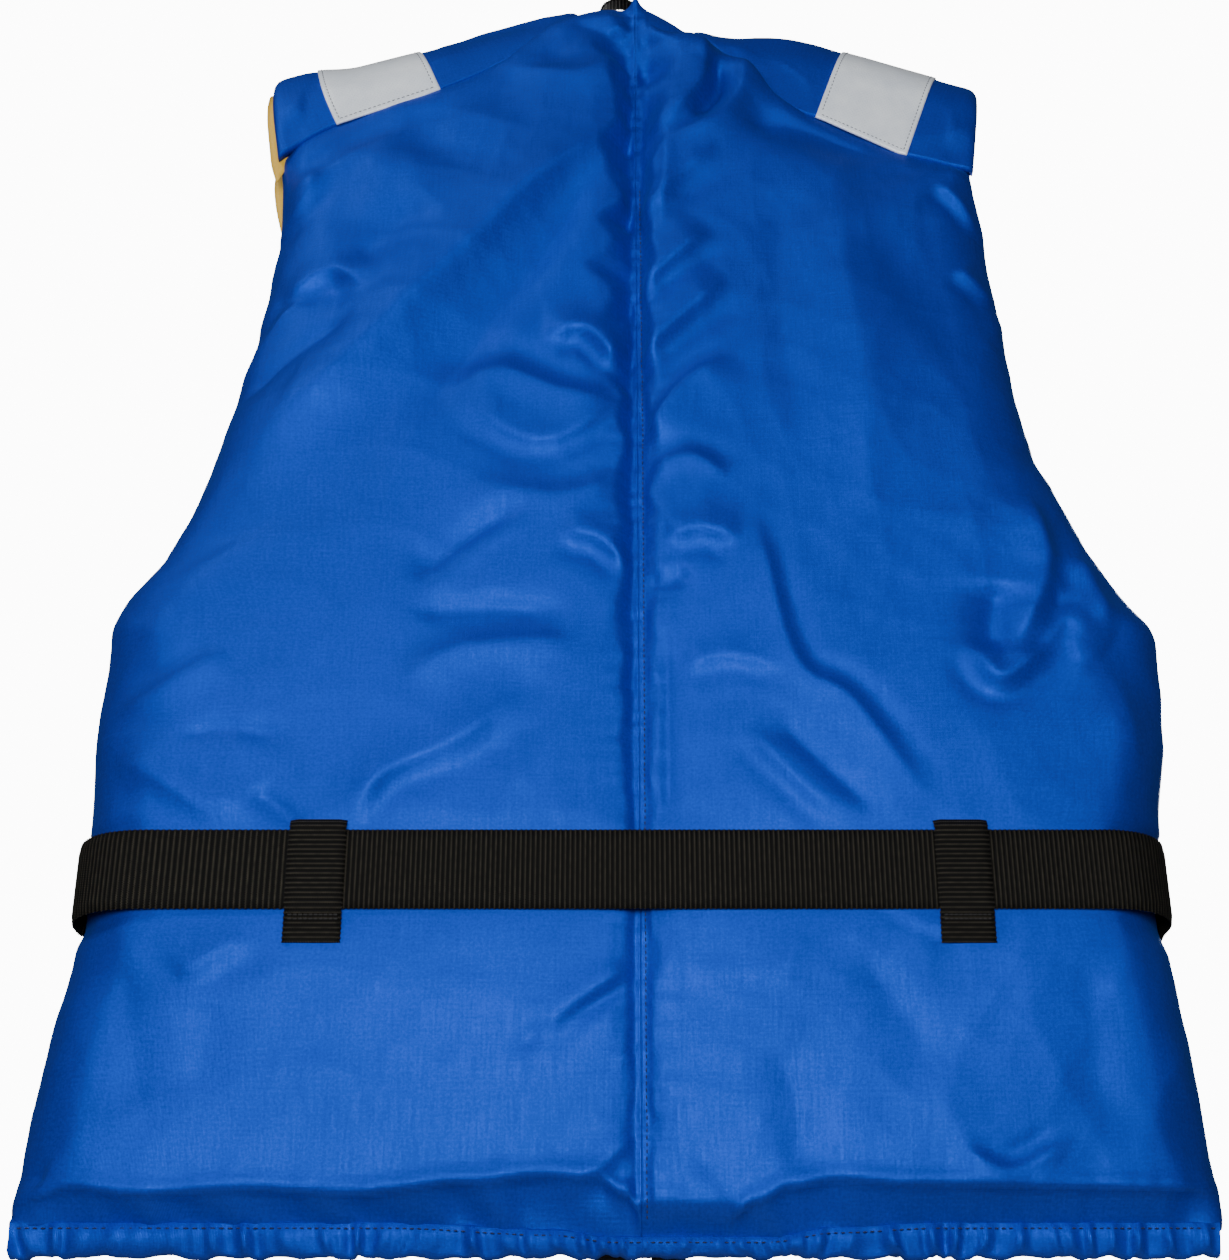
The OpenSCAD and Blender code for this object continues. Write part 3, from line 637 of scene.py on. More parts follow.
def pad_depth(xz, lines, front):
    """Depth of the padding outward from its inner face, before it swells."""
    bottom, top, inner, outer = lines
    z = xz[..., 1]
    d_outer, d_top = to_line(xz, outer), to_line(xz, top)
    d_outer[:, -1] = d_top[-1] = 0
    if front:
        crown = FRONT_CROWN - INNER_Y - SWELL
        edge = 0.24 + 0.76 * round_edge(to_line(xz, inner[::4]), 20)
        foot = 0.45 + 0.55 * round_edge(z - bottom[0, 1], 20)
        top_edge = 0.6 + 0.4 * round_edge(d_top, 18)
        return crown * round_edge(d_outer, 30) * edge * foot * top_edge
    crown = BACK_CROWN - INNER_Y - SWELL
    top_edge = 0.52 + 0.48 * round_edge(d_top, 17)
    outer_edge = round_edge(d_outer, 30)
    shoulder = smooth(-155, -112, z)
    outer_edge += shoulder * (0.5 + 0.5 * round_edge(d_outer, 14) - outer_edge)
    return crown * outer_edge * top_edge


def simulate(name, rest, pressure, growth, most):
    """Cloth simulation of an open grid whose border is sewn down: it swells and buckles a little.
    No point moves by more than most, in mm."""
    rows, cols = rest.shape[:2]
    mesh = bpy.data.meshes.new(name)
    mesh.from_pydata((rest.reshape(-1, 3) / 1000).tolist(), [], grid_faces(rows, cols))
    cloth = bpy.data.objects.new(name, mesh)
    bpy.context.scene.collection.objects.link(cloth)
    i = np.arange(rows * cols).reshape(rows, cols)
    border = np.unique(np.concatenate([i[0], i[-1], i[:, 0], i[:, -1]]))
    cloth.vertex_groups.new(name="sewn").add(border.tolist(), 1, "REPLACE")
    modifier = cloth.modifiers.new("cloth", "CLOTH")
    s = modifier.settings
    s.quality, s.mass = 5, 0.15
    s.tension_stiffness = s.compression_stiffness = 20
    s.shear_stiffness, s.bending_stiffness = 6, 0.08
    s.use_pressure, s.uniform_pressure_force = True, pressure
    s.vertex_group_mass, s.shrink_min = "sewn", -growth
    s.effector_weights.gravity = 0
    modifier.collision_settings.use_collision = False
    frames = 20
    modifier.point_cache.frame_start, modifier.point_cache.frame_end = 1, frames + 1
    for k in range(1, frames + 1):
        bpy.context.scene.frame_set(k)
    evaluated = cloth.evaluated_get(bpy.context.evaluated_depsgraph_get())
    moved = np.empty(rows * cols * 3, np.float32)
    evaluated.data.vertices.foreach_get("co", moved)
    bpy.data.objects.remove(cloth)
    bpy.context.scene.frame_set(1)
    step = moved.reshape(rest.shape) * 1000.0 - rest
    for _ in range(8):
        around = step[2:, 1:-1] + step[:-2, 1:-1] + step[1:-1, 2:] + step[1:-1, :-2]
        step[1:-1, 1:-1] = 0.5 * step[1:-1, 1:-1] + 0.125 * around
    far = np.linalg.norm(step, axis=-1, keepdims=True)
    return rest + step * most / (most + far)


# Folds of the back's left and right halves: points in X and Z, widths, height, lean
BACK_FOLDS = {
    LEFT: [
        ([(-12, -88), (-55, -127), (-88, -167), (-122, -210), (-155, -257), (-200, -312)], 7, 17, 6.5, -0.35),
        ([(-115, -137), (-135, -158), (-152, -182)], 12, 9, -2.5, 0),
        ([(-26, -118), (-48, -167), (-88, -233), (-112, -275)], 7, 9, -3.0, -0.3),
        ([(-183, -197), (-160, -182), (-140, -197)], 4, 6, 2.6, 0.6),
        ([(-200, -250), (-190, -220), (-170, -195)], 4, 4, 2.2, -0.6),
        ([(-196, -258), (-170, -232), (-146, -212)], 4, 5, -2.2, 0),
        ([(-50, -226), (-28, -224), (-8, -248)], 5, 4, 3.4, 0.8),
        ([(-98, -262), (-72, -250), (-40, -262), (-10, -266)], 8, 5, 3.2, -0.6),
        ([(-92, -268), (-50, -290), (-10, -268)], 6, 4, 2.0, 0.7),
        ([(-112, -369), (-85, -345), (-58, -328)], 5, 4, -2.6, 0.5),
        ([(-40, -342), (-20, -347), (-5, -362)], 5, 4, 2.6, 0.7),
        ([(-10, -310), (-40, -322), (-90, -318)], 4, 9, 1.8, 0.4),
        ([(-116, -425), (-88, -408), (-30, -402)], 6, 6, 2.4, -0.6),
        ([(-112, -388), (-75, -385), (-35, -386)], 6, 5, -2.2, 0),
        ([(-193, -408), (-215, -425), (-240, -440)], 4, 6, 1.8, 0.6),
        ([(-210, -453), (-190, -449), (-163, -455)], 4, 4, -1.5, 0),
        ([(-234, -462), (-210, -478), (-182, -502)], 6, 5, 2.0, 0.6),
        ([(-138, -499), (-122, -473), (-88, -455), (-55, -430)], 4, 8, 2.6, 0.5),
        ([(-178, -481), (-168, -488), (-158, -500)], 5, 4, -1.8, 0),
        ([(-200, -570), (-188, -560), (-175, -550)], 5, 5, 1.6, 0.5),
        ([(-48, -597), (-28, -580), (-4, -563)], 4, 3, 2.0, 0.7),
        ([(-60, -604), (-36, -588), (-6, -574)], 4, 3, -1.2, 0.3),
        ([(-224, -560), (-214, -600), (-207, -640)], 11, 12, -1.8, 0),
        ([(-184, -580), (-188, -605), (-193, -625)], 9, 9, -1.3, 0),
        ([(-262, -655), (-252, -655), (-244, -658)], 5, 4, -2.0, 0.3),
        ([(-10, -40), (-34, -52), (-70, -42)], 6, 8, 2.2, 0.5),
        ([(-6, -22), (-20, -16), (-38, -8)], 4, 5, -1.6, 0.4),
        ([(-196, -150), (-180, -132), (-172, -112)], 4, 5, 2.0, 0.6),
        ([(-190, -128), (-165, -112), (-120, -84)], 5, 7, 1.6, -0.4),
        ([(-3, -640), (-22, -655), (-40, -668)], 4, 4, 1.8, -0.6),
    ],
    RIGHT: [
        ([(34, -14), (39, -40), (35, -60), (24, -78), (6, -92)], 7, 5, 4.6, -0.4),
        ([(56, -18), (61, -44), (57, -67), (42, -88), (10, -100)], 8, 6, 4.6, 0.3),
        ([(48, -34), (47, -58), (32, -81)], 5, 4, -3.6, 0),
        ([(18, -96), (16, -130), (14, -160)], 4, 4, 2.0, 0.3),
        ([(56, -82), (90, -82), (140, -104)], 9, 7, -2.6, 0),
        ([(116, -110), (112, -180), (118, -250), (112, -325)], 15, 16, 2.6, 0),
        ([(80, -130), (76, -200), (82, -280)], 14, 14, -1.6, 0),
        ([(2, -152), (20, -128), (44, -104)], 4, 7, 2.6, 0.6),
        ([(2, -198), (16, -182), (40, -160)], 4, 6, 3.6, 0.7),
        ([(2, -240), (18, -222), (48, -192)], 4, 7, 3.6, 0.7),
        ([(3, -290), (25, -258), (50, -240)], 4, 6, 3.4, -0.7),
        ([(6, -306), (28, -300), (46, -312)], 4, 5, 2.2, -0.5),
        ([(14, -345), (32, -341), (52, -347)], 5, 5, 2.6, 0.7),
        ([(4, -367), (14, -370), (26, -364)], 5, 5, -2.0, 0),
        ([(13, -395), (14, -450), (13, -505)], 4, 4, -1.8, 0),
        ([(60, -338), (76, -412), (102, -434), (134, -482)], 4, 5, 2.2, -0.8),
        ([(52, -450), (72, -472), (100, -500)], 4, 5, 1.8, 0.6),
        ([(68, -446), (88, -468), (112, -492)], 4, 4, -1.3, 0.2),
        ([(22, -415), (45, -411), (70, -418)], 4, 4, 1.5, 0.6),
        ([(192, -318), (196, -352), (193, -376), (183, -398), (176, -410)], 6, 5, 3.6, -0.4),
        ([(176, -372), (172, -392), (172, -410)], 9, 8, -4.2, 0),
        ([(204, -370), (196, -398), (184, -412)], 7, 6, -3.4, 0),
        ([(160, -404), (172, -423), (190, -409), (203, -390), (211, -398)], 5, 5, 3.4, 0.6),
        ([(212, -350), (219, -375), (224, -392)], 5, 4, 2.6, 0.4),
        ([(205, -398), (225, -430), (232, -478)], 7, 9, 1.8, -0.4),
        ([(232, -388), (225, -404), (210, -420)], 6, 6, -1.6, 0),
        ([(112, -529), (132, -543), (150, -549)], 4, 3, 1.5, 0.5),
        ([(205, -560), (202, -600), (206, -640)], 12, 12, -1.6, 0),
        ([(100, -560), (120, -590), (126, -620)], 8, 10, -1.3, 0),
        ([(138, -645), (160, -654), (188, -641)], 3.5, 3.5, 1.7, -0.9),
        ([(172, -178), (182, -186), (191, -196)], 4, 4, 2.2, 0.6),
        ([(168, -124), (180, -136), (187, -150)], 4, 3, 2.2, 0.7),
        ([(60, -600), (70, -630), (66, -656)], 9, 8, -1.5, 0),
        ([(6, -8), (20, -14), (30, -10)], 4, 4, -1.5, 0.4),
    ],
}
FRONT_FOLDS = [
    ([(100, -80), (85, -140), (60, -190), (20, -230)], 10, 7, 3.0, 0.4),
    ([(178, -130), (160, -190), (150, -260)], 8, 14, 2.5, -0.3),
    ([(18, -300), (70, -285), (130, -300)], 5, 12, 2.4, 0.6),
    ([(18, -360), (60, -372), (110, -360)], 5, 9, 2.2, -0.5),
    ([(236, -392), (190, -405), (140, -395)], 8, 12, -2.8, 0),
    ([(230, -430), (180, -440), (120, -470)], 6, 10, 2.2, 0.5),
    ([(18, -440), (50, -455), (80, -490)], 5, 6, 2.2, 0.5),
    ([(30, -560), (70, -585), (120, -580)], 6, 10, 2.0, -0.4),
    ([(200, -560), (190, -600), (196, -640)], 12, 12, -2.0, 0),
    ([(120, -560), (128, -600), (118, -640)], 10, 12, 1.8, 0),
]


def pad(side, front):
    """One padded half: its cover swells over the foam, buckles and folds, and its inner face is flat."""
    name = ("front_pad_" if front else "back_pad_") + SIDE_NAMES[side]
    lines = borders(side, front)
    u = shares(HEM_HALF, 4.2, 0.6, 1)
    v = shares(670, 4.2, 0.8, 0.8)
    xz = coons(*lines, u, v)
    away = smooth(0, 7, np.arange(len(u))[::-1])[None, :, None]
    for _ in range(60):
        xz[1:-1] += 0.5 * away * ((xz[2:] + xz[:-2]) / 2 - xz[1:-1])
    depth = pad_depth(xz, lines, front)
    x, z = xz[..., 0], xz[..., 1]
    out = 1 if front else -1
    grid = np.stack([side * x, out * (INNER_Y + depth), z], -1)
    grid = simulate(name, grid, pressure=-2.2 * side * out, growth=0.018, most=8)
    grid, flat = refine(grid), refine(np.stack([side * x, z], -1))
    x, z = flat[..., 0], flat[..., 1]
    edge = round_edge(to_line(np.stack([side * x, z], -1), lines[3][::4]), 26)
    normal = normals_of(grid)
    normal *= np.sign((normal[..., 1] * out).mean())
    if front:
        extra = folds_height(side * x, z, FRONT_FOLDS) * edge
        extra += 1.2 * crumple(x, z, 30 + side, 40, 110)
        near_zip = np.exp(-(side * x - FRONT_X) / 9)
        extra += near_zip * 1.1 * waves(z, 8 + side, 9, 20)
    else:
        extra = 1.6 * folds_height(x, z, BACK_FOLDS[side]) * np.maximum(edge, 0.35)
        extra += 1.5 * crumple(x, z, 10 + side, 40, 120) + 0.5 * crumple(x, z, 14 + side, 14, 40)
        extra += 0.9 * np.exp(-side * x / 8) * waves(z, 20 + side, 6, 14)
        if side == RIGHT:
            extra += 0.5 * smooth(21, 16, x) * smooth(-280, -330, z)
    gather = np.exp(-(z - flat[:1, :, 1]) / 9)
    extra += 1.3 * gather * waves(x, 40 + side + out, 8, 22)
    border = round_edge(to_line(np.stack([side * x, z], -1), lines[1][::3]), 8)
    grid = grid + normal * (extra * (0.25 + 0.75 * border))[..., None]
    depth = out * grid[..., 1]
    if front:
        depth = soft_min(depth, belt_limit(z, FRONT_CROWN - 0.2, 5))
    else:
        # the valley along the seam, the depth that both halves share where they are sewn, and its welt
        wide, deep = by(VALLEY_WIDE[side], z), by(VALLEY_DEEP, z)
        wide = wide * (1 + 0.3 * waves(z, 26 + side, 25, 70))
        dent = deep * (1 + 0.35 * waves(z, 28 + side, 18, 60))
        depth = depth - dent * (1 - smooth(0, 1, side * x / wide))
        sewn = np.exp(-(x / 4.5) ** 2)
        seam_depth = BACK_CROWN - 3 - deep + 0.5 * waves(z, 25, 6, 15) - 2 * smooth(-20, NECK_Z, z)
        depth = depth * (1 - sewn) + seam_depth * sewn
        depth = depth + 0.8 * smooth(-2.4, -1.0, x) * smooth(7.5, 5.5, x)
        grid[..., 0] += sewn * (x - grid[..., 0])
        grid[..., 2] += sewn * (z - grid[..., 2])
        # the lip above the hem, and the drop from it to the stitch line
        lip = by(LIP_Z, x)
        foot = flat[:1, :, 1]
        fallen = np.clip((lip - z) / np.maximum(lip - foot, 4), 0, 1)
        depth = soft_min(depth, belt_limit(z, BACK_CROWN - 0.2, 14))
        depth = depth + 1.6 * np.exp(-((z - lip - 2) / 4) ** 2) * smooth(-676, -668, lip)
        tall = smooth(6, 12, lip - foot)
        slope = 0.15 * smooth(0, 0.15, fallen) + 0.85 * fallen
        fallen = tall * slope + (1 - tall) * smooth(16, 0, z - foot)
        depth = depth - edge * fallen * np.maximum(depth - FALL_STOP, 0)
        depth = depth + edge * tall * fallen * (1 - fallen) * 8 * (waves(x + 0.5 * z, 46, 16, 42) - 0.3)
    grid[..., 1] = out * np.maximum(depth, INNER_Y)
    inner = grid.copy()
    inner[..., 1] = out * (INNER_Y - 0.2)
    middle = inner[1:-1, 1:-1]
    middle[..., 1] += out * 1.5
    piece = shell(name, grid, inner, BLUE, on_cloth(x, z))
    return facing(piece), grid


def front_blend(piece, side):
    """Bakes the piece's place into its mesh. It works out a line down the front of the shoulder for this
    side, but nothing uses it.
    """
    down = np.array([-53.0, 0, -102.0]) / math.hypot(53, 102)
    start = np.array([88.0, 40, -57.0]) + 6 * down
    ends = [p * [side, 1, 1] for p in (start, start + 134 * down)]
    ends = [(p + HOOK) / 1000 for p in ends]
    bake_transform(piece)


SURFACE = {}
for side, side_name in SIDE_NAMES.items():
    back_pad, back_grid = pad(side, False)
    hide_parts("back_cover_" + side_name, "back_foam_" + side_name)
    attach(back_pad, "back")
    SURFACE["back", side] = back_grid
    front_pad, front_grid = pad(side, True)
    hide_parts("front_cover_" + side_name, "front_foam_" + side_name)
    front_blend(front_pad, side)
    SURFACE["front", side] = front_grid


def surface_tree(grid):
    points = grid.reshape(-1, 3)
    return BVHTree.FromPolygons(points.tolist(), grid_faces(*grid.shape[:2]))


TREES = {key: surface_tree(grid) for key, grid in SURFACE.items()}


def on_pad(where, x, z, lift=0.0):
    """The point of a pad's outer surface at x and z, raised by lift, and its normal."""
    out = 1 if where == "front" else -1
    side = RIGHT if x >= 0 else LEFT
    hit, normal, _, _ = TREES[where, side].ray_cast(Vector((x, out * 200, z)), Vector((0, -out, 0)))
    if hit is None:
        hit, normal, _, _ = TREES[where, side].find_nearest(Vector((x, out * 50, z)))
    if normal.y * out < 0:
        normal = -normal
    return np.array(hit) + lift * np.array(normal), np.array(normal)


seam_line = [on_pad("back", x, z, 0.3) for x, z in spline([(2.2, -120), (2.6, -300), (2.2, -674)], 260)]
seam_points, seam_normals = (np.array(part) for part in zip(*seam_line))
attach(stitches("centre_seam_stitches", seam_points, seam_normals, BLUE_THREAD), "back")

# --- linings ------------------------------------------------------------------


def lining(name, parts, out, seed, flare=0.0):
    """A thin lining on the inner faces of padded halves; flare is how far it shows at the left armhole."""
    points, faces, cloth = [], [], []
    for side, front in parts:
        lines = borders(side, front)
        xz = coons(*lines, shares(HEM_HALF, 9, 0.5, 1), shares(670, 9, 0.5, 0.5))
        x, z = xz[..., 0], xz[..., 1]
        x = x * 0.992
        if side == LEFT:
            x = x + flare * smooth(150, 190, x) * smooth(-150, -112, z)
            x = x - 7 * smooth(235, 265, x) * smooth(-650, -675, z)
        wave = 0.6 * crumple(x, z, seed, 30, 90) + 0.25 * waves(z, seed + 1, 12, 30)
        y = out * (INNER_Y - 1.0 - 0.4 * wave)
        start = len(points)
        points += np.stack([side * x, y, z], -1).reshape(-1, 3).tolist()
        faces += grid_faces(*xz.shape[:2], start=start)
        cloth.append(on_cloth(side * x, z))
    piece = add_mesh(name, np.array(points), faces, YELLOW, np.concatenate(cloth))
    thicken(piece, 0.6)
    return piece


back_lining = lining("back_lining_cloth", [(LEFT, False), (RIGHT, False)], -1, 60, flare=8.5)
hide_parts("back_lining")
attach(back_lining, "back")
for side, side_name in SIDE_NAMES.items():
    sheet = lining("front_lining_cloth_" + side_name, [(side, True)], 1, 70 + side, flare=5)
    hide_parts("front_lining_" + side_name)
    front_blend(sheet, side)

# --- side panels --------------------------------------------------------------


PANEL_HALF = 12.5                     # half of the strip's width between the back and a front


def side_panel(side):
    """The strip of cover cloth that closes the back to a front below the armhole."""
    z = np.linspace(FRONT_FOOT_Z, UNDERARM[1], 150)
    outer = borders(side, False)[3]
    x = np.interp(z, outer[:, 1], outer[:, 0])
    y = np.linspace(-PANEL_HALF, PANEL_HALF, 15)
    y, z = np.meshgrid(y, z)
    round_y = np.cos(y / PANEL_HALF * np.pi / 2)
    bulge = 1.5 * round_y + 0.9 * waves(z + 0.6 * y, 80 + side, 9, 26) * round_y
    belt = smooth(26, 18, np.abs(z - BELT_Z))
    x = x[:, None] + bulge * (1 - belt) - 1.0
    points = np.stack([side * x, y, z], -1).reshape(-1, 3)
    piece = add_mesh("side_panel_cloth_" + SIDE_NAMES[side], points, grid_faces(*y.shape), BLUE,
                     on_cloth(y, z))
    thicken(piece, 0.8)
    return piece


for side, side_name in SIDE_NAMES.items():
    panel = side_panel(side)
    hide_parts("side_panel_" + side_name)
    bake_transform(panel)

# --- hem casings --------------------------------------------------------------


def casing(name, x0, x1, top, bottom, y_outer, y_inner, seed):
    """A gathered tube of cover cloth round the hem's elastic. top gives its stitch line at each x."""
    out = np.sign(y_outer)
    x = np.arange(x0, x1 + 0.1, 1.6)
    y_mid = (y_outer + y_inner) / 2
    section = spline([(y_outer + 3.0 * out, 0.0), (y_outer + 3.2 * out, 0.35), (y_outer + 0.5 * out, 0.85),
                      (y_mid + 2.0 * out, 1.0), (y_inner + 1.5 * out, 0.9), (y_inner, 0.5), (y_inner, -0.15),
                      (y_mid, -0.3), (y_outer - 2.0 * out, -0.25), (y_outer + 3.0 * out, -0.02)], 34)[:-1]
    stitch = top(x)
    s_y, s_z = section[:, 0][None], section[:, 1][None]
    lean = x[:, None] + 7 * s_z * waves(x, seed + 2, 60, 150)[:, None]
    pucker = 1 - 2 * np.abs(waves(lean, seed, 16, 44)) ** 0.7
    gather = (pucker + 0.8 * waves(lean, seed + 3, 5, 12)) * smooth(-0.1, 0.35, s_z)
    late = waves(x + 3, seed + 1, 13, 40)[:, None] * smooth(0.4, 0.9, s_z)
    y = s_y + out * (2.3 * gather * smooth(1.1, 0.7, s_z) + 0.7 * late)
    ruffle = (0.9 * late + 0.5 * gather) * smooth(0.5, 0.9, s_z)
    z = stitch[:, None] + (bottom - stitch[:, None]) * s_z + ruffle
    grid = np.stack([np.repeat(x[:, None], s_y.size, 1), y, z], -1)
    n = s_y.size
    faces = grid_faces(len(x), n, around=True)
    cloth = on_cloth(np.repeat(x, n), np.tile(lengths(section * [1, 20]), len(x)))
    return add_mesh(name, grid.reshape(-1, 3), faces, BLUE, cloth)


def back_stitch_z(x):
    return by(STITCH_Z, x) + 1.5


def front_stitch_z(x):
    return np.full(len(x), FRONT_FOOT_Z + 1)


def hem_line(name, where, x0, x1, stitch, y):
    """The casing's stitch line, just over its top edge."""
    out = 1 if where == "front" else -1
    x = np.linspace(x0, x1, 200)
    z = stitch(x) - 2.2
    points = np.column_stack([x, np.full(200, y), z])
    normal = np.tile([0.0, out, 0.0], (200, 1))
    return stitches(name, points, normal, BLUE_THREAD, pitch=3.2)


casing_back = casing("hem_casing_cloth_back", -259, 259, back_stitch_z, -688.0, -29.0, -16.0, 90)
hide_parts("hem_casing_back")
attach(casing_back, "back")
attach(hem_line("hem_stitches_back", "back", -256, 256, back_stitch_z, -32.4), "back")
for side, side_name in SIDE_NAMES.items():
    x0, x1 = sorted((side * (FRONT_X + 1), side * 259))
    piece = casing("hem_casing_cloth_front_" + side_name, x0, x1, front_stitch_z, HEM_Z + FRONT_RISE - 2,
                   34.0, 14.0, 94 + side)
    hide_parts("hem_casing_front_" + side_name)
    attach(piece, "front_" + side_name)
    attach(hem_line("hem_stitches_front_" + side_name, "front", x0 + 2, x1 - 2, front_stitch_z, 37.6),
            "front_" + side_name)


def flat_elastic(name, x0, x1, y, z, body):
    line = np.array([(x0, y, z), (x1, y, z)], float)
    piece = strap(name, line, (0, 0, 1), 15.0, 2.0, ELASTIC, rib=1.6, high=0.2)
    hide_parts(name.replace("_band", ""))
    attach(piece, body)


flat_elastic("hem_elastic_back_band", -258, 258, -24, -675.1, "back")
for side, side_name in SIDE_NAMES.items():
    x0, x1 = sorted((side * (FRONT_X + 2), side * 258))
    flat_elastic(f"hem_elastic_front_{side_name}_band", x0, x1, 24, -667.1, "front_" + side_name)

# --- shoulder yokes -----------------------------------------------------------

YOKE_R, YOKE_T, YOKE_X, YOKE_TOP = 40.0, 8.0, 88.0, 5.0
TILT = math.radians(19.8)
YOKE_QUARTER = YOKE_R * math.pi / 2   # length of a quarter turn round the shoulder
FRONT_CREASE = [(40, -29), (76, -46), (190, -106), (220, -122)]
NECK_DROOP = {LEFT: 0.0, RIGHT: 14.0}
TIP_RISE = {LEFT: 7.0, RIGHT: 0.0}


def arch_point(t, q, lift):
    """The point of the shoulder arch t along the shoulder and q round from its top, raised by lift."""
    turn = np.clip(q / YOKE_R, -math.pi / 2, math.pi / 2)
    r = YOKE_R + lift
    y, up = r * np.sin(turn), r * np.cos(turn)
    up = up - np.maximum(np.abs(q) - YOKE_QUARTER, 0)
    x = YOKE_X + math.cos(TILT) * (t - YOKE_X) + math.sin(TILT) * up
    z = YOKE_TOP - YOKE_R - math.sin(TILT) * (t - YOKE_X) + math.cos(TILT) * up
    return np.stack([x, y, z], -1)


def leg_end(t, w, side):
    """Height in the arch's own frame at which the leg at t meets the crease, behind (w < 0) or in front."""
    a = YOKE_X + math.cos(TILT) * (t - YOKE_X)
    b = YOKE_TOP - YOKE_R - math.sin(TILT) * (t - YOKE_X)
    back = [(40, CREASE[side][0][1] + 18)] + CREASE[side] + [(220, -122)]
    h = np.full(np.shape(t), -5.0)
    for _ in range(12):
        x = a + math.sin(TILT) * h
        crease = np.where(w < 0, np.interp(x, *np.array(back).T), np.interp(x, *np.array(FRONT_CREASE).T))
        h = h + 0.8 * (crease - (b + math.cos(TILT) * h))
    return h


def settle(points, w, side):
    """The yoke droops at the neck and rises at the tip."""
    points[..., 2] -= NECK_DROOP[side] * smooth(108, 46, points[..., 0])
    points[..., 2] += TIP_RISE[side] * smooth(152, 186, points[..., 0]) * smooth(0.9, 0.4, np.abs(w))


def on_yoke(t, q, lift, side):
    """The point lift above the yoke's cloth, in the patch's coordinates."""
    points = arch_point(t, q, lift)
    settle(points, q / (YOKE_QUARTER - leg_end(t, q, side) + 4), side)
    points[..., 0] *= side
    return points


def yoke_grid(u, w, lift, side, tip=0.0):
    """Points of the yoke: u runs from the neck to the tip, w from the back crease to the front one."""
    t = np.full(np.broadcast(u, w).shape, 120.0)
    for _ in range(12):
        down = leg_end(t, w, side) - 4 - (2 + 1.2 * tip) * smooth(0.8, 1, u)
        q = w * (YOKE_QUARTER - down)
        up = np.where(np.abs(q) < YOKE_QUARTER, YOKE_R * np.cos(q / YOKE_R), YOKE_QUARTER - np.abs(q))
        neck = 20 + 50 * smooth(30, -16, up) + 16 * smooth(0, 0.3, w) * smooth(30, 0, up)
        end = 193 + tip + 15 * (40 - up) / 72
        t = neck + (end - neck) * u
    points = arch_point(t, q, lift)
    settle(points, w, side)
    return points, t, q


def yoke(side):
    """A shoulder strap with its lining."""
    name = "yoke_pad_" + SIDE_NAMES[side]
    u, w = np.meshgrid(np.linspace(0, 1, 90), np.linspace(-1, 1, 120), indexing="ij")
    edge = round_edge(np.minimum(u, 1 - u) * 130, 6)
    wrinkle = 0.9 * crumple(u * 140, w * 90, 50 + side, 25, 70)
    wrinkle += folds_height(u * 140, w * 90, [
        ([(95, -80), (118, -74), (138, -62)], 5, 6, 2.2, 0.5),
        ([(8, -60), (30, -40), (60, -34)], 5, 6, 1.8, 0.4),
        ([(100, 70), (120, 60), (138, 66)], 5, 6, 1.8, 0.5)])
    flat_patch = smooth(0.04, 0.0, np.maximum(0.49 - u, u - 0.86))
    lift = -2.5 + 2.5 * edge + wrinkle * edge * (1 - 0.7 * flat_patch)
    outer, t, q = yoke_grid(u, w, lift, side)
    inner, _, _ = yoke_grid(u, w, -YOKE_T + 1.5 + 0 * u, side)
    for grid in (outer, inner):
        grid[..., 0] *= side
    piece = facing(shell(name, outer, inner, BLUE, on_cloth(t, q)))
    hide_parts("shoulder_yoke_" + SIDE_NAMES[side])
    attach(piece, "back")
    below = -YOKE_T - 0.2 + 0.3 * waves(q[::2, ::2], 55, 20, 50)
    grid, t, q = yoke_grid(u[::2, ::2], w[::2, ::2], below, side, tip=6.5 if side == LEFT else 0.5)
    grid[..., 0] *= side
    sheet = add_mesh("yoke_lining_cloth_" + SIDE_NAMES[side], grid.reshape(-1, 3), grid_faces(*t.shape),
                     YELLOW, on_cloth(t, q))
    thicken(sheet, 0.8)
    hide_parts("yoke_lining_" + SIDE_NAMES[side])
    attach(sheet, "back")
    return outer


def reflector(side):
    """A patch of tape sewn over the yoke, with a stitch line inside its edges."""
    t0, t1, back_margin, front_margin, inset = 113.5, 170.5, -5.0, 3.0, 2.6
    t, w = np.meshgrid(np.linspace(t0, t1, 60), np.linspace(-1, 1, 110), indexing="ij")
    reach = YOKE_QUARTER - leg_end(t, w, side) - np.where(w < 0, back_margin, front_margin)
    q = w * reach
    rise = 0.9 + 0.25 * crumple(t, q, 58 + side, 18, 50)
    edge = np.minimum(np.minimum(t - t0, t1 - t), reach * (1 - np.abs(w)))
    rise = rise - 0.25 * smooth(1.2, 0, edge) - 0.18 * np.exp(-((edge - inset) / 0.8) ** 2)
    outer, inner = on_yoke(t, q, rise + 0.2, side), on_yoke(t, q, rise * 0 - 0.6, side)
    name = "reflector_patch_" + SIDE_NAMES[side]
    piece = facing(shell(name, outer, inner, SILVER, on_cloth(t, q)))
    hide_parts("reflector_" + SIDE_NAMES[side])
    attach(piece, "back")
    ends = np.array([t0 + inset, t1 - inset])
    low, high = (YOKE_QUARTER - leg_end(ends, k, side) - margin - inset
                 for k, margin in ((-1, back_margin), (1, front_margin)))
    corners = [(ends[0], -low[0]), (ends[1], -low[1]), (ends[1], high[1]), (ends[0], high[0]),
               (ends[0], -low[0])]
    path = np.vstack([np.linspace(a, b, 60, endpoint=False) for a, b in zip(corners, corners[1:])])
    line, above = (on_yoke(path[:, 0], path[:, 1], lift, side) for lift in (1.05, 2.05))
    sewn = stitches("reflector_stitches_" + SIDE_NAMES[side], line, above - line, GREY_THREAD, 2.6, 1.8, 0.26)
    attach(sewn, "back")


for side in SIDE_NAMES:
    yoke(side)
    reflector(side)

# --- belt and loops -----------------------------------------------------------

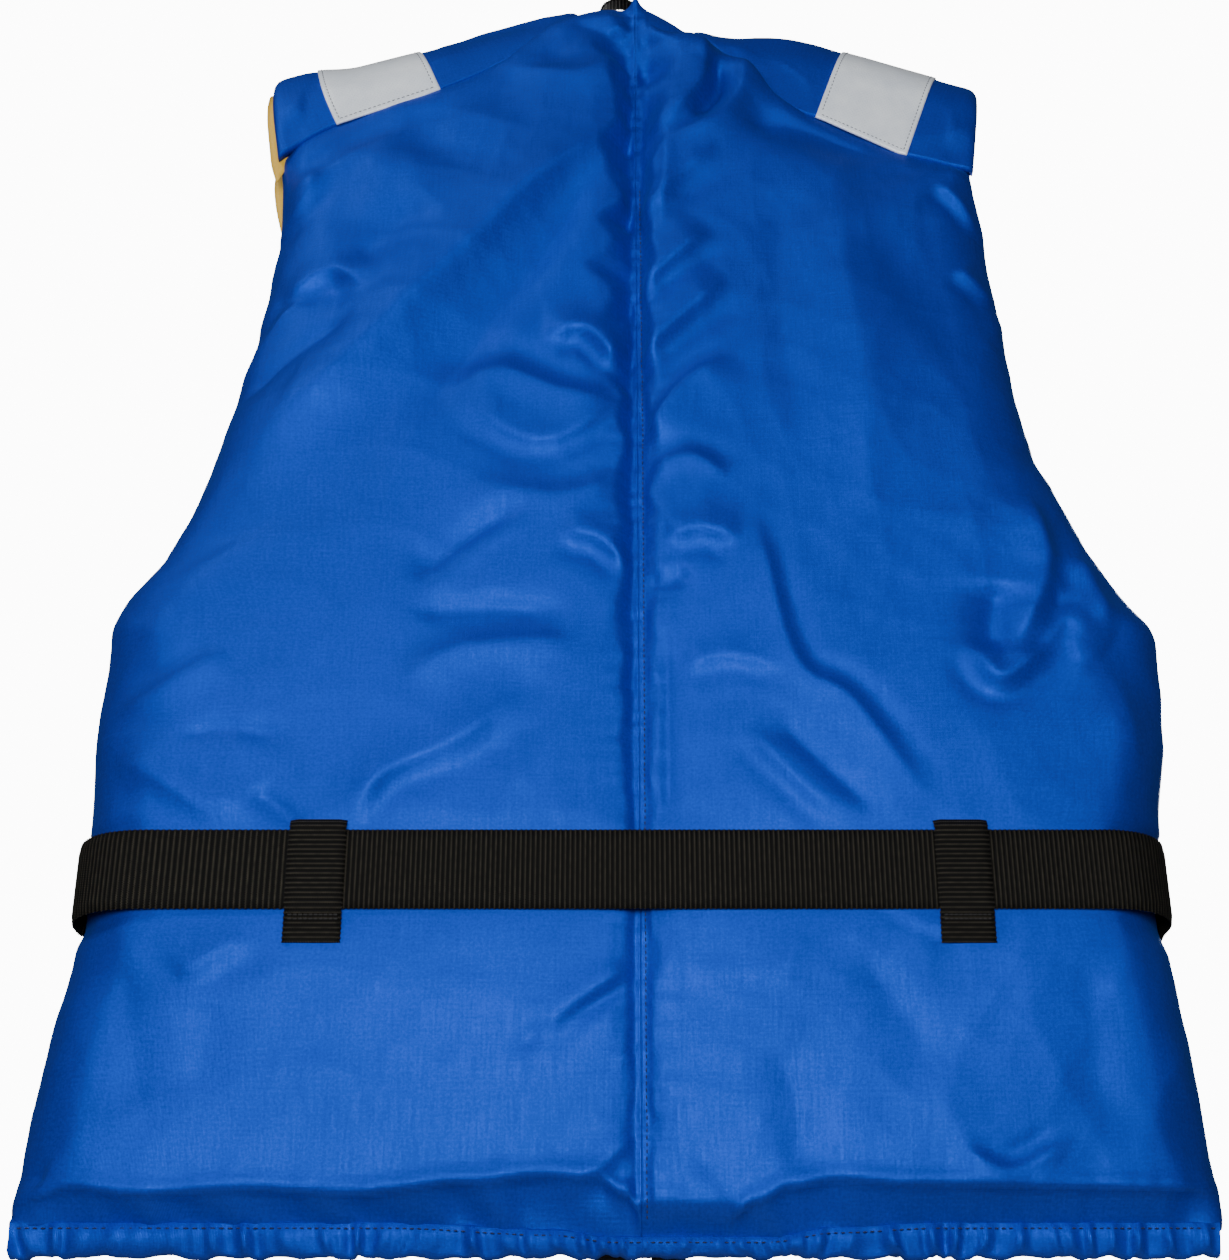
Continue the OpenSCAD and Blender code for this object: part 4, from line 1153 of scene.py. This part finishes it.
BELT_SIDE_X = WAIST_HALF + 2.2 + BELT_T / 2
BELT_BACK_Y = -(BACK_CROWN + 0.3 + BELT_T / 2)
BELT_FRONT_Y = FRONT_CROWN + 1.8 + BELT_T / 2
SOCKET_BAR = (-55.0, 60.6)        # X and Y of the bars that webbing is looped round
FRAME_BAR = (51.0, 62.9)
TURN_R = 3.8                      # mid-surface radius of webbing round a bar


def belt_piece(name, node, path, body, radii):
    line = np.array([(x, y, BELT_Z) for x, y in (turns(path, radii) if radii else path)])
    piece = strap(name, line, (0, 0, 1), BELT_W, BELT_T, WEBBING)
    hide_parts(node)
    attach(piece, body)
    return piece


def webbing_turn(bar, under, over):
    """Line of webbing that comes in along X, turns round a bar and comes back."""
    turn = np.linspace(-math.pi / 2, -3 * math.pi / 2, 24)
    arc = [(bar[0] + TURN_R * math.cos(a), bar[1] + TURN_R * math.sin(a)) for a in turn]
    return [(bar[0] + under, arc[0][1])] + arc + [(bar[0] + over, arc[-1][1])]


belt_piece("belt_back_webbing", "belt_back", [
    (-BELT_SIDE_X, HINGE_Y - SEAM_GAP), (-BELT_SIDE_X, BELT_BACK_Y), (BELT_SIDE_X, BELT_BACK_Y),
    (BELT_SIDE_X, HINGE_Y - SEAM_GAP)], "back", [34, 34])
belt_piece("belt_front_right_webbing", "belt_front_right", [
    (BELT_SIDE_X, HINGE_Y + SEAM_GAP), (BELT_SIDE_X, BELT_FRONT_Y),
    (62.5, BELT_FRONT_Y)], "front_right", [30])
left_run = turns([(-BELT_SIDE_X, HINGE_Y + SEAM_GAP), (-BELT_SIDE_X, BELT_FRONT_Y),
                  (-90, BELT_FRONT_Y)], [30])
left_arc = [(SOCKET_BAR[0] + TURN_R * math.cos(a), SOCKET_BAR[1] + TURN_R * math.sin(a))
            for a in np.linspace(-math.pi / 2, math.pi / 2, 24)]
belt_piece("belt_front_left_webbing", "belt_front_left",
           [*left_run, *left_arc, (-89, SOCKET_BAR[1] + TURN_R)], "front_left", None)
belt_piece("belt_tail_webbing", "belt_tail", webbing_turn(FRAME_BAR, 65, 125), "buckle", None)


def belt_loop(name, node, x, out, face, body):
    """A loop of webbing over the belt, sewn to the vest above it and below it."""
    where = "front" if out > 0 else "back"
    top_z, low_z = BELT_Z + BELT_W / 2, BELT_Z - BELT_W / 2
    y_belt = face + BELT_T + 0.3 + 1.0
    above, _ = on_pad(where, x, top_z + 4)
    below, _ = on_pad(where, x, low_z - 8)
    foot, _ = on_pad(where, x, low_z - 16)
    path = spline([(out * above[1] + 0.8, top_z + 4.5), (y_belt - 0.2, top_z + 1.2),
                   (y_belt + 0.2, top_z - 5), (y_belt + 0.2, low_z + 4), (y_belt - 0.4, low_z - 1.5),
                   (out * below[1] + 1.2, low_z - 9), (out * foot[1] + 1.0, low_z - 16)], 120)
    line = np.array([(x, out * y, z) for y, z in path])
    piece = strap(name, line, (1, 0, 0), LOOP_W, BELT_T * 0.9, WEBBING)
    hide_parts(node)
    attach(piece, body)
    sew = []
    for z in (low_z - 3.6, low_z - 5.4):
        sew.append([(x + s, z) for s in np.linspace(-LOOP_W / 2 + 1.5, LOOP_W / 2 - 1.5, 20)])
    for k, row in enumerate(sew):
        y = np.interp(row[0][1], path[::-1, 1], path[::-1, 0])
        line = np.array([(px, out * (y + 1.05), pz) for px, pz in row])
        normals = np.tile([0.0, out, 0.0], (20, 1))
        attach(stitches(f"{name}_stitches_{k}", line, normals, BLACK_THREAD, 2.2, 1.7, 0.35), body)


for side, side_name in SIDE_NAMES.items():
    belt_loop(f"belt_loop_back_{side_name}_webbing", "belt_loop_back_" + side_name, side * LOOP_X, -1,
              BACK_CROWN + 0.3, "back")
    belt_loop(f"belt_loop_front_{side_name}_webbing", "belt_loop_front_" + side_name, side * FRONT_LOOP_X, 1,
              FRONT_CROWN + 1.8, "front_" + side_name)

# the elastic keeper goes round the belt and its tail
KEEPER_X = 124
keeper_y0, keeper_y1 = BELT_FRONT_Y - 2.0, FRAME_BAR[1] + TURN_R + 2.0
keeper_half = BELT_W / 2 + 1.2
keeper_line = turns([(keeper_y1, 0), (keeper_y1, keeper_half), (keeper_y0, keeper_half),
                     (keeper_y0, -keeper_half), (keeper_y1, -keeper_half), (keeper_y1, -0.5)], [2.2] * 4)
keeper_line = np.array([(KEEPER_X, y, BELT_Z + z) for y, z in keeper_line])
keeper = strap("strap_keeper_band", keeper_line, (1, 0, 0), 12, 1.2, ELASTIC, rib=1.6, high=0.2)
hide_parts("strap_keeper")
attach(keeper, "keeper")

# --- hanging loop -------------------------------------------------------------

loop_line = spline([(11.8, -17, -6), (11.9, -17, 4), (11.6, -17, 12), (7.5, -17, 20.5), (-1, -17, 23.4),
                    (-9, -17, 19.5), (-12.2, -17, 11), (-12.0, -17, 3), (-11.8, -17, -6)], 160)
loop_line[:, 2] += 7 * smooth(0, 20, loop_line[:, 2])
loop_line[:, 0] -= 9 * smooth(6, 22, loop_line[:, 2])      # it flops over to the left
hang_loop = strap("hang_loop_tape", loop_line, (0, 1, 0), 10, 1.4, WEBBING, rib=1.6, high=0.2)
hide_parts("hang_loop")
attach(hang_loop, "back")

# --- zip ----------------------------------------------------------------------


def zip_tape(side):
    """Woven tape beside the teeth, sewn to the front's edge with two rows."""
    z = np.linspace(HEM_Z + 2, ZIP_TOP, 330)
    share = np.linspace(0, 1, 9)
    x = 5 + FRONT_X * share
    x, z = np.meshgrid(x, z)
    y = ZIP_Y + 0.5 * waves(z, 100 + side, 18, 50) * share * 0.8 + 1.2 * smooth(0.7, 1, share)
    if side == LEFT:
        beside = smooth(-211, -209, z) * smooth(-191, -193, z)
        x = np.maximum(x, 5 + 4.8 * beside)
    points = np.stack([side * x, y, z], -1).reshape(-1, 3)
    piece = add_mesh("zip_tape_cloth_" + SIDE_NAMES[side], points, grid_faces(*x.shape), ZIP_TAPE,
                     on_cloth(x, z))
    thicken(piece, 1.0)
    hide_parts("zip_tape_" + SIDE_NAMES[side])
    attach(piece, "front_" + SIDE_NAMES[side])
    for k, x_row in enumerate((12.2, 14.2)):
        line = np.tile([side * x_row, ZIP_Y + 0.7, 0], (150, 1))
        line[:, 2] = np.linspace(-660, ZIP_TOP - 6, 150)
        name = f"zip_stitches_{SIDE_NAMES[side]}_{k}"
        rows = stitches(name, line, np.tile([0.0, 1, 0], (150, 1)), BLACK_THREAD)
        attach(rows, "front_" + SIDE_NAMES[side])


for side in SIDE_NAMES:
    zip_tape(side)

# --- hard parts kept from the CAD ---------------------------------------------

HARD = {
    PLASTIC: ["zip_teeth_left", "zip_teeth_right", "zip_stop_left", "zip_stop_right", "zip_insert_pin",
              "zip_box",
              "buckle_socket", "buckle_frame", "buckle_prong_upper", "buckle_prong_lower"],
    PAINTED: ["zip_slider", "zip_pull"],
}
# widths of the rounded edges in mm; the other hard parts have 0.25
BEVEL = {"buckle_socket": 1.0, "buckle_frame": 0.8, "buckle_prong_upper": 0.7, "buckle_prong_lower": 0.7,
         "zip_slider": 0.6, "zip_pull": 0.35}
for material, names in HARD.items():
    for name in names:
        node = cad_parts[name]
        node.data.materials.clear()
        node.data.materials.append(material)
        bevel = node.modifiers.new("rounded edges", "BEVEL")
        bevel.width, bevel.segments = BEVEL.get(name, 0.25) / 1000, 3
        bevel.limit_method, bevel.angle_limit = "ANGLE", math.radians(35)

# --- floor, lights and camera -------------------------------------------------


def area_light(name, place, aim, size, power, color=(1, 1, 1)):
    light = bpy.data.lights.new(name, "AREA")
    light.shape, light.size, light.size_y = "RECTANGLE", *size
    light.energy, light.color = power, color
    lamp = bpy.data.objects.new(name, light)
    bpy.context.scene.collection.objects.link(lamp)
    lamp.location = place
    lamp.rotation_euler = (Vector(aim) - Vector(place)).to_track_quat("-Z", "Y").to_euler()


def studio():
    world = bpy.data.worlds.new("studio")
    bpy.context.scene.world = world
    world.use_nodes = True
    tree = world.node_tree
    sky = tree.nodes["Background"]
    seen = tree.nodes.new("ShaderNodeBackground")
    sky.inputs[0].default_value, sky.inputs[1].default_value = (0.8, 0.88, 1.0, 1), 0.07
    seen.inputs[0].default_value, seen.inputs[1].default_value = (1, 1, 1, 1), 12.0
    path, mix = tree.nodes.new("ShaderNodeLightPath"), tree.nodes.new("ShaderNodeMixShader")
    tree.links.new(path.outputs["Is Camera Ray"], mix.inputs[0])
    tree.links.new(sky.outputs[0], mix.inputs[1])
    tree.links.new(seen.outputs[0], mix.inputs[2])
    tree.links.new(mix.outputs[0], tree.nodes["World Output"].inputs[0])
    area_light("key", (-0.08, -1.1, -0.62), (0, 0, -0.5), (0.35, 0.35), 14)
    area_light("top", (-0.85, -0.75, 0.6), (0, 0, -0.3), (0.5, 0.35), 6.5)
    area_light("front_fill", (0.5, 1.5, 0.1), (0, 0, -0.35), (0.9, 0.9), 40)
    floor = bpy.data.meshes.new("floor")
    half, low = 12.0, -1.75
    corners = [(-half, -half, low), (half, -half, low), (half, half, low), (-half, half, low)]
    floor.from_pydata(corners, [], [(0, 1, 2, 3)])
    plain = Nodes("floor", (0.5, 0.5, 0.5), 0.8)
    plain.set(Base_Color=plain.mix(plain.noise(plain.place(), 6.0), (0.51, 0.51, 0.50), (0.49, 0.49, 0.48)))
    eye = plain.tree.nodes.new("ShaderNodeLightPath").outputs["Is Camera Ray"]
    plain.set(Emission_Color=(1, 1, 0.99, 1), Emission_Strength=plain.math("MULTIPLY", eye, 2.2))
    floor.materials.append(plain.material)
    ground = bpy.data.objects.new("floor", floor)
    bpy.context.scene.collection.objects.link(ground)


def camera():
    data = bpy.data.cameras.new("camera")
    data.lens, data.sensor_width = 56.34, 36
    data.clip_start, data.clip_end = 0.02, 50
    cam = bpy.data.objects.new("camera", data)
    bpy.context.scene.collection.objects.link(cam)
    cam.location = (-0.012, -0.907, -0.826)
    cam.rotation_euler = (math.radians(115), 0, 0)
    bpy.context.scene.camera = cam


studio()
camera()
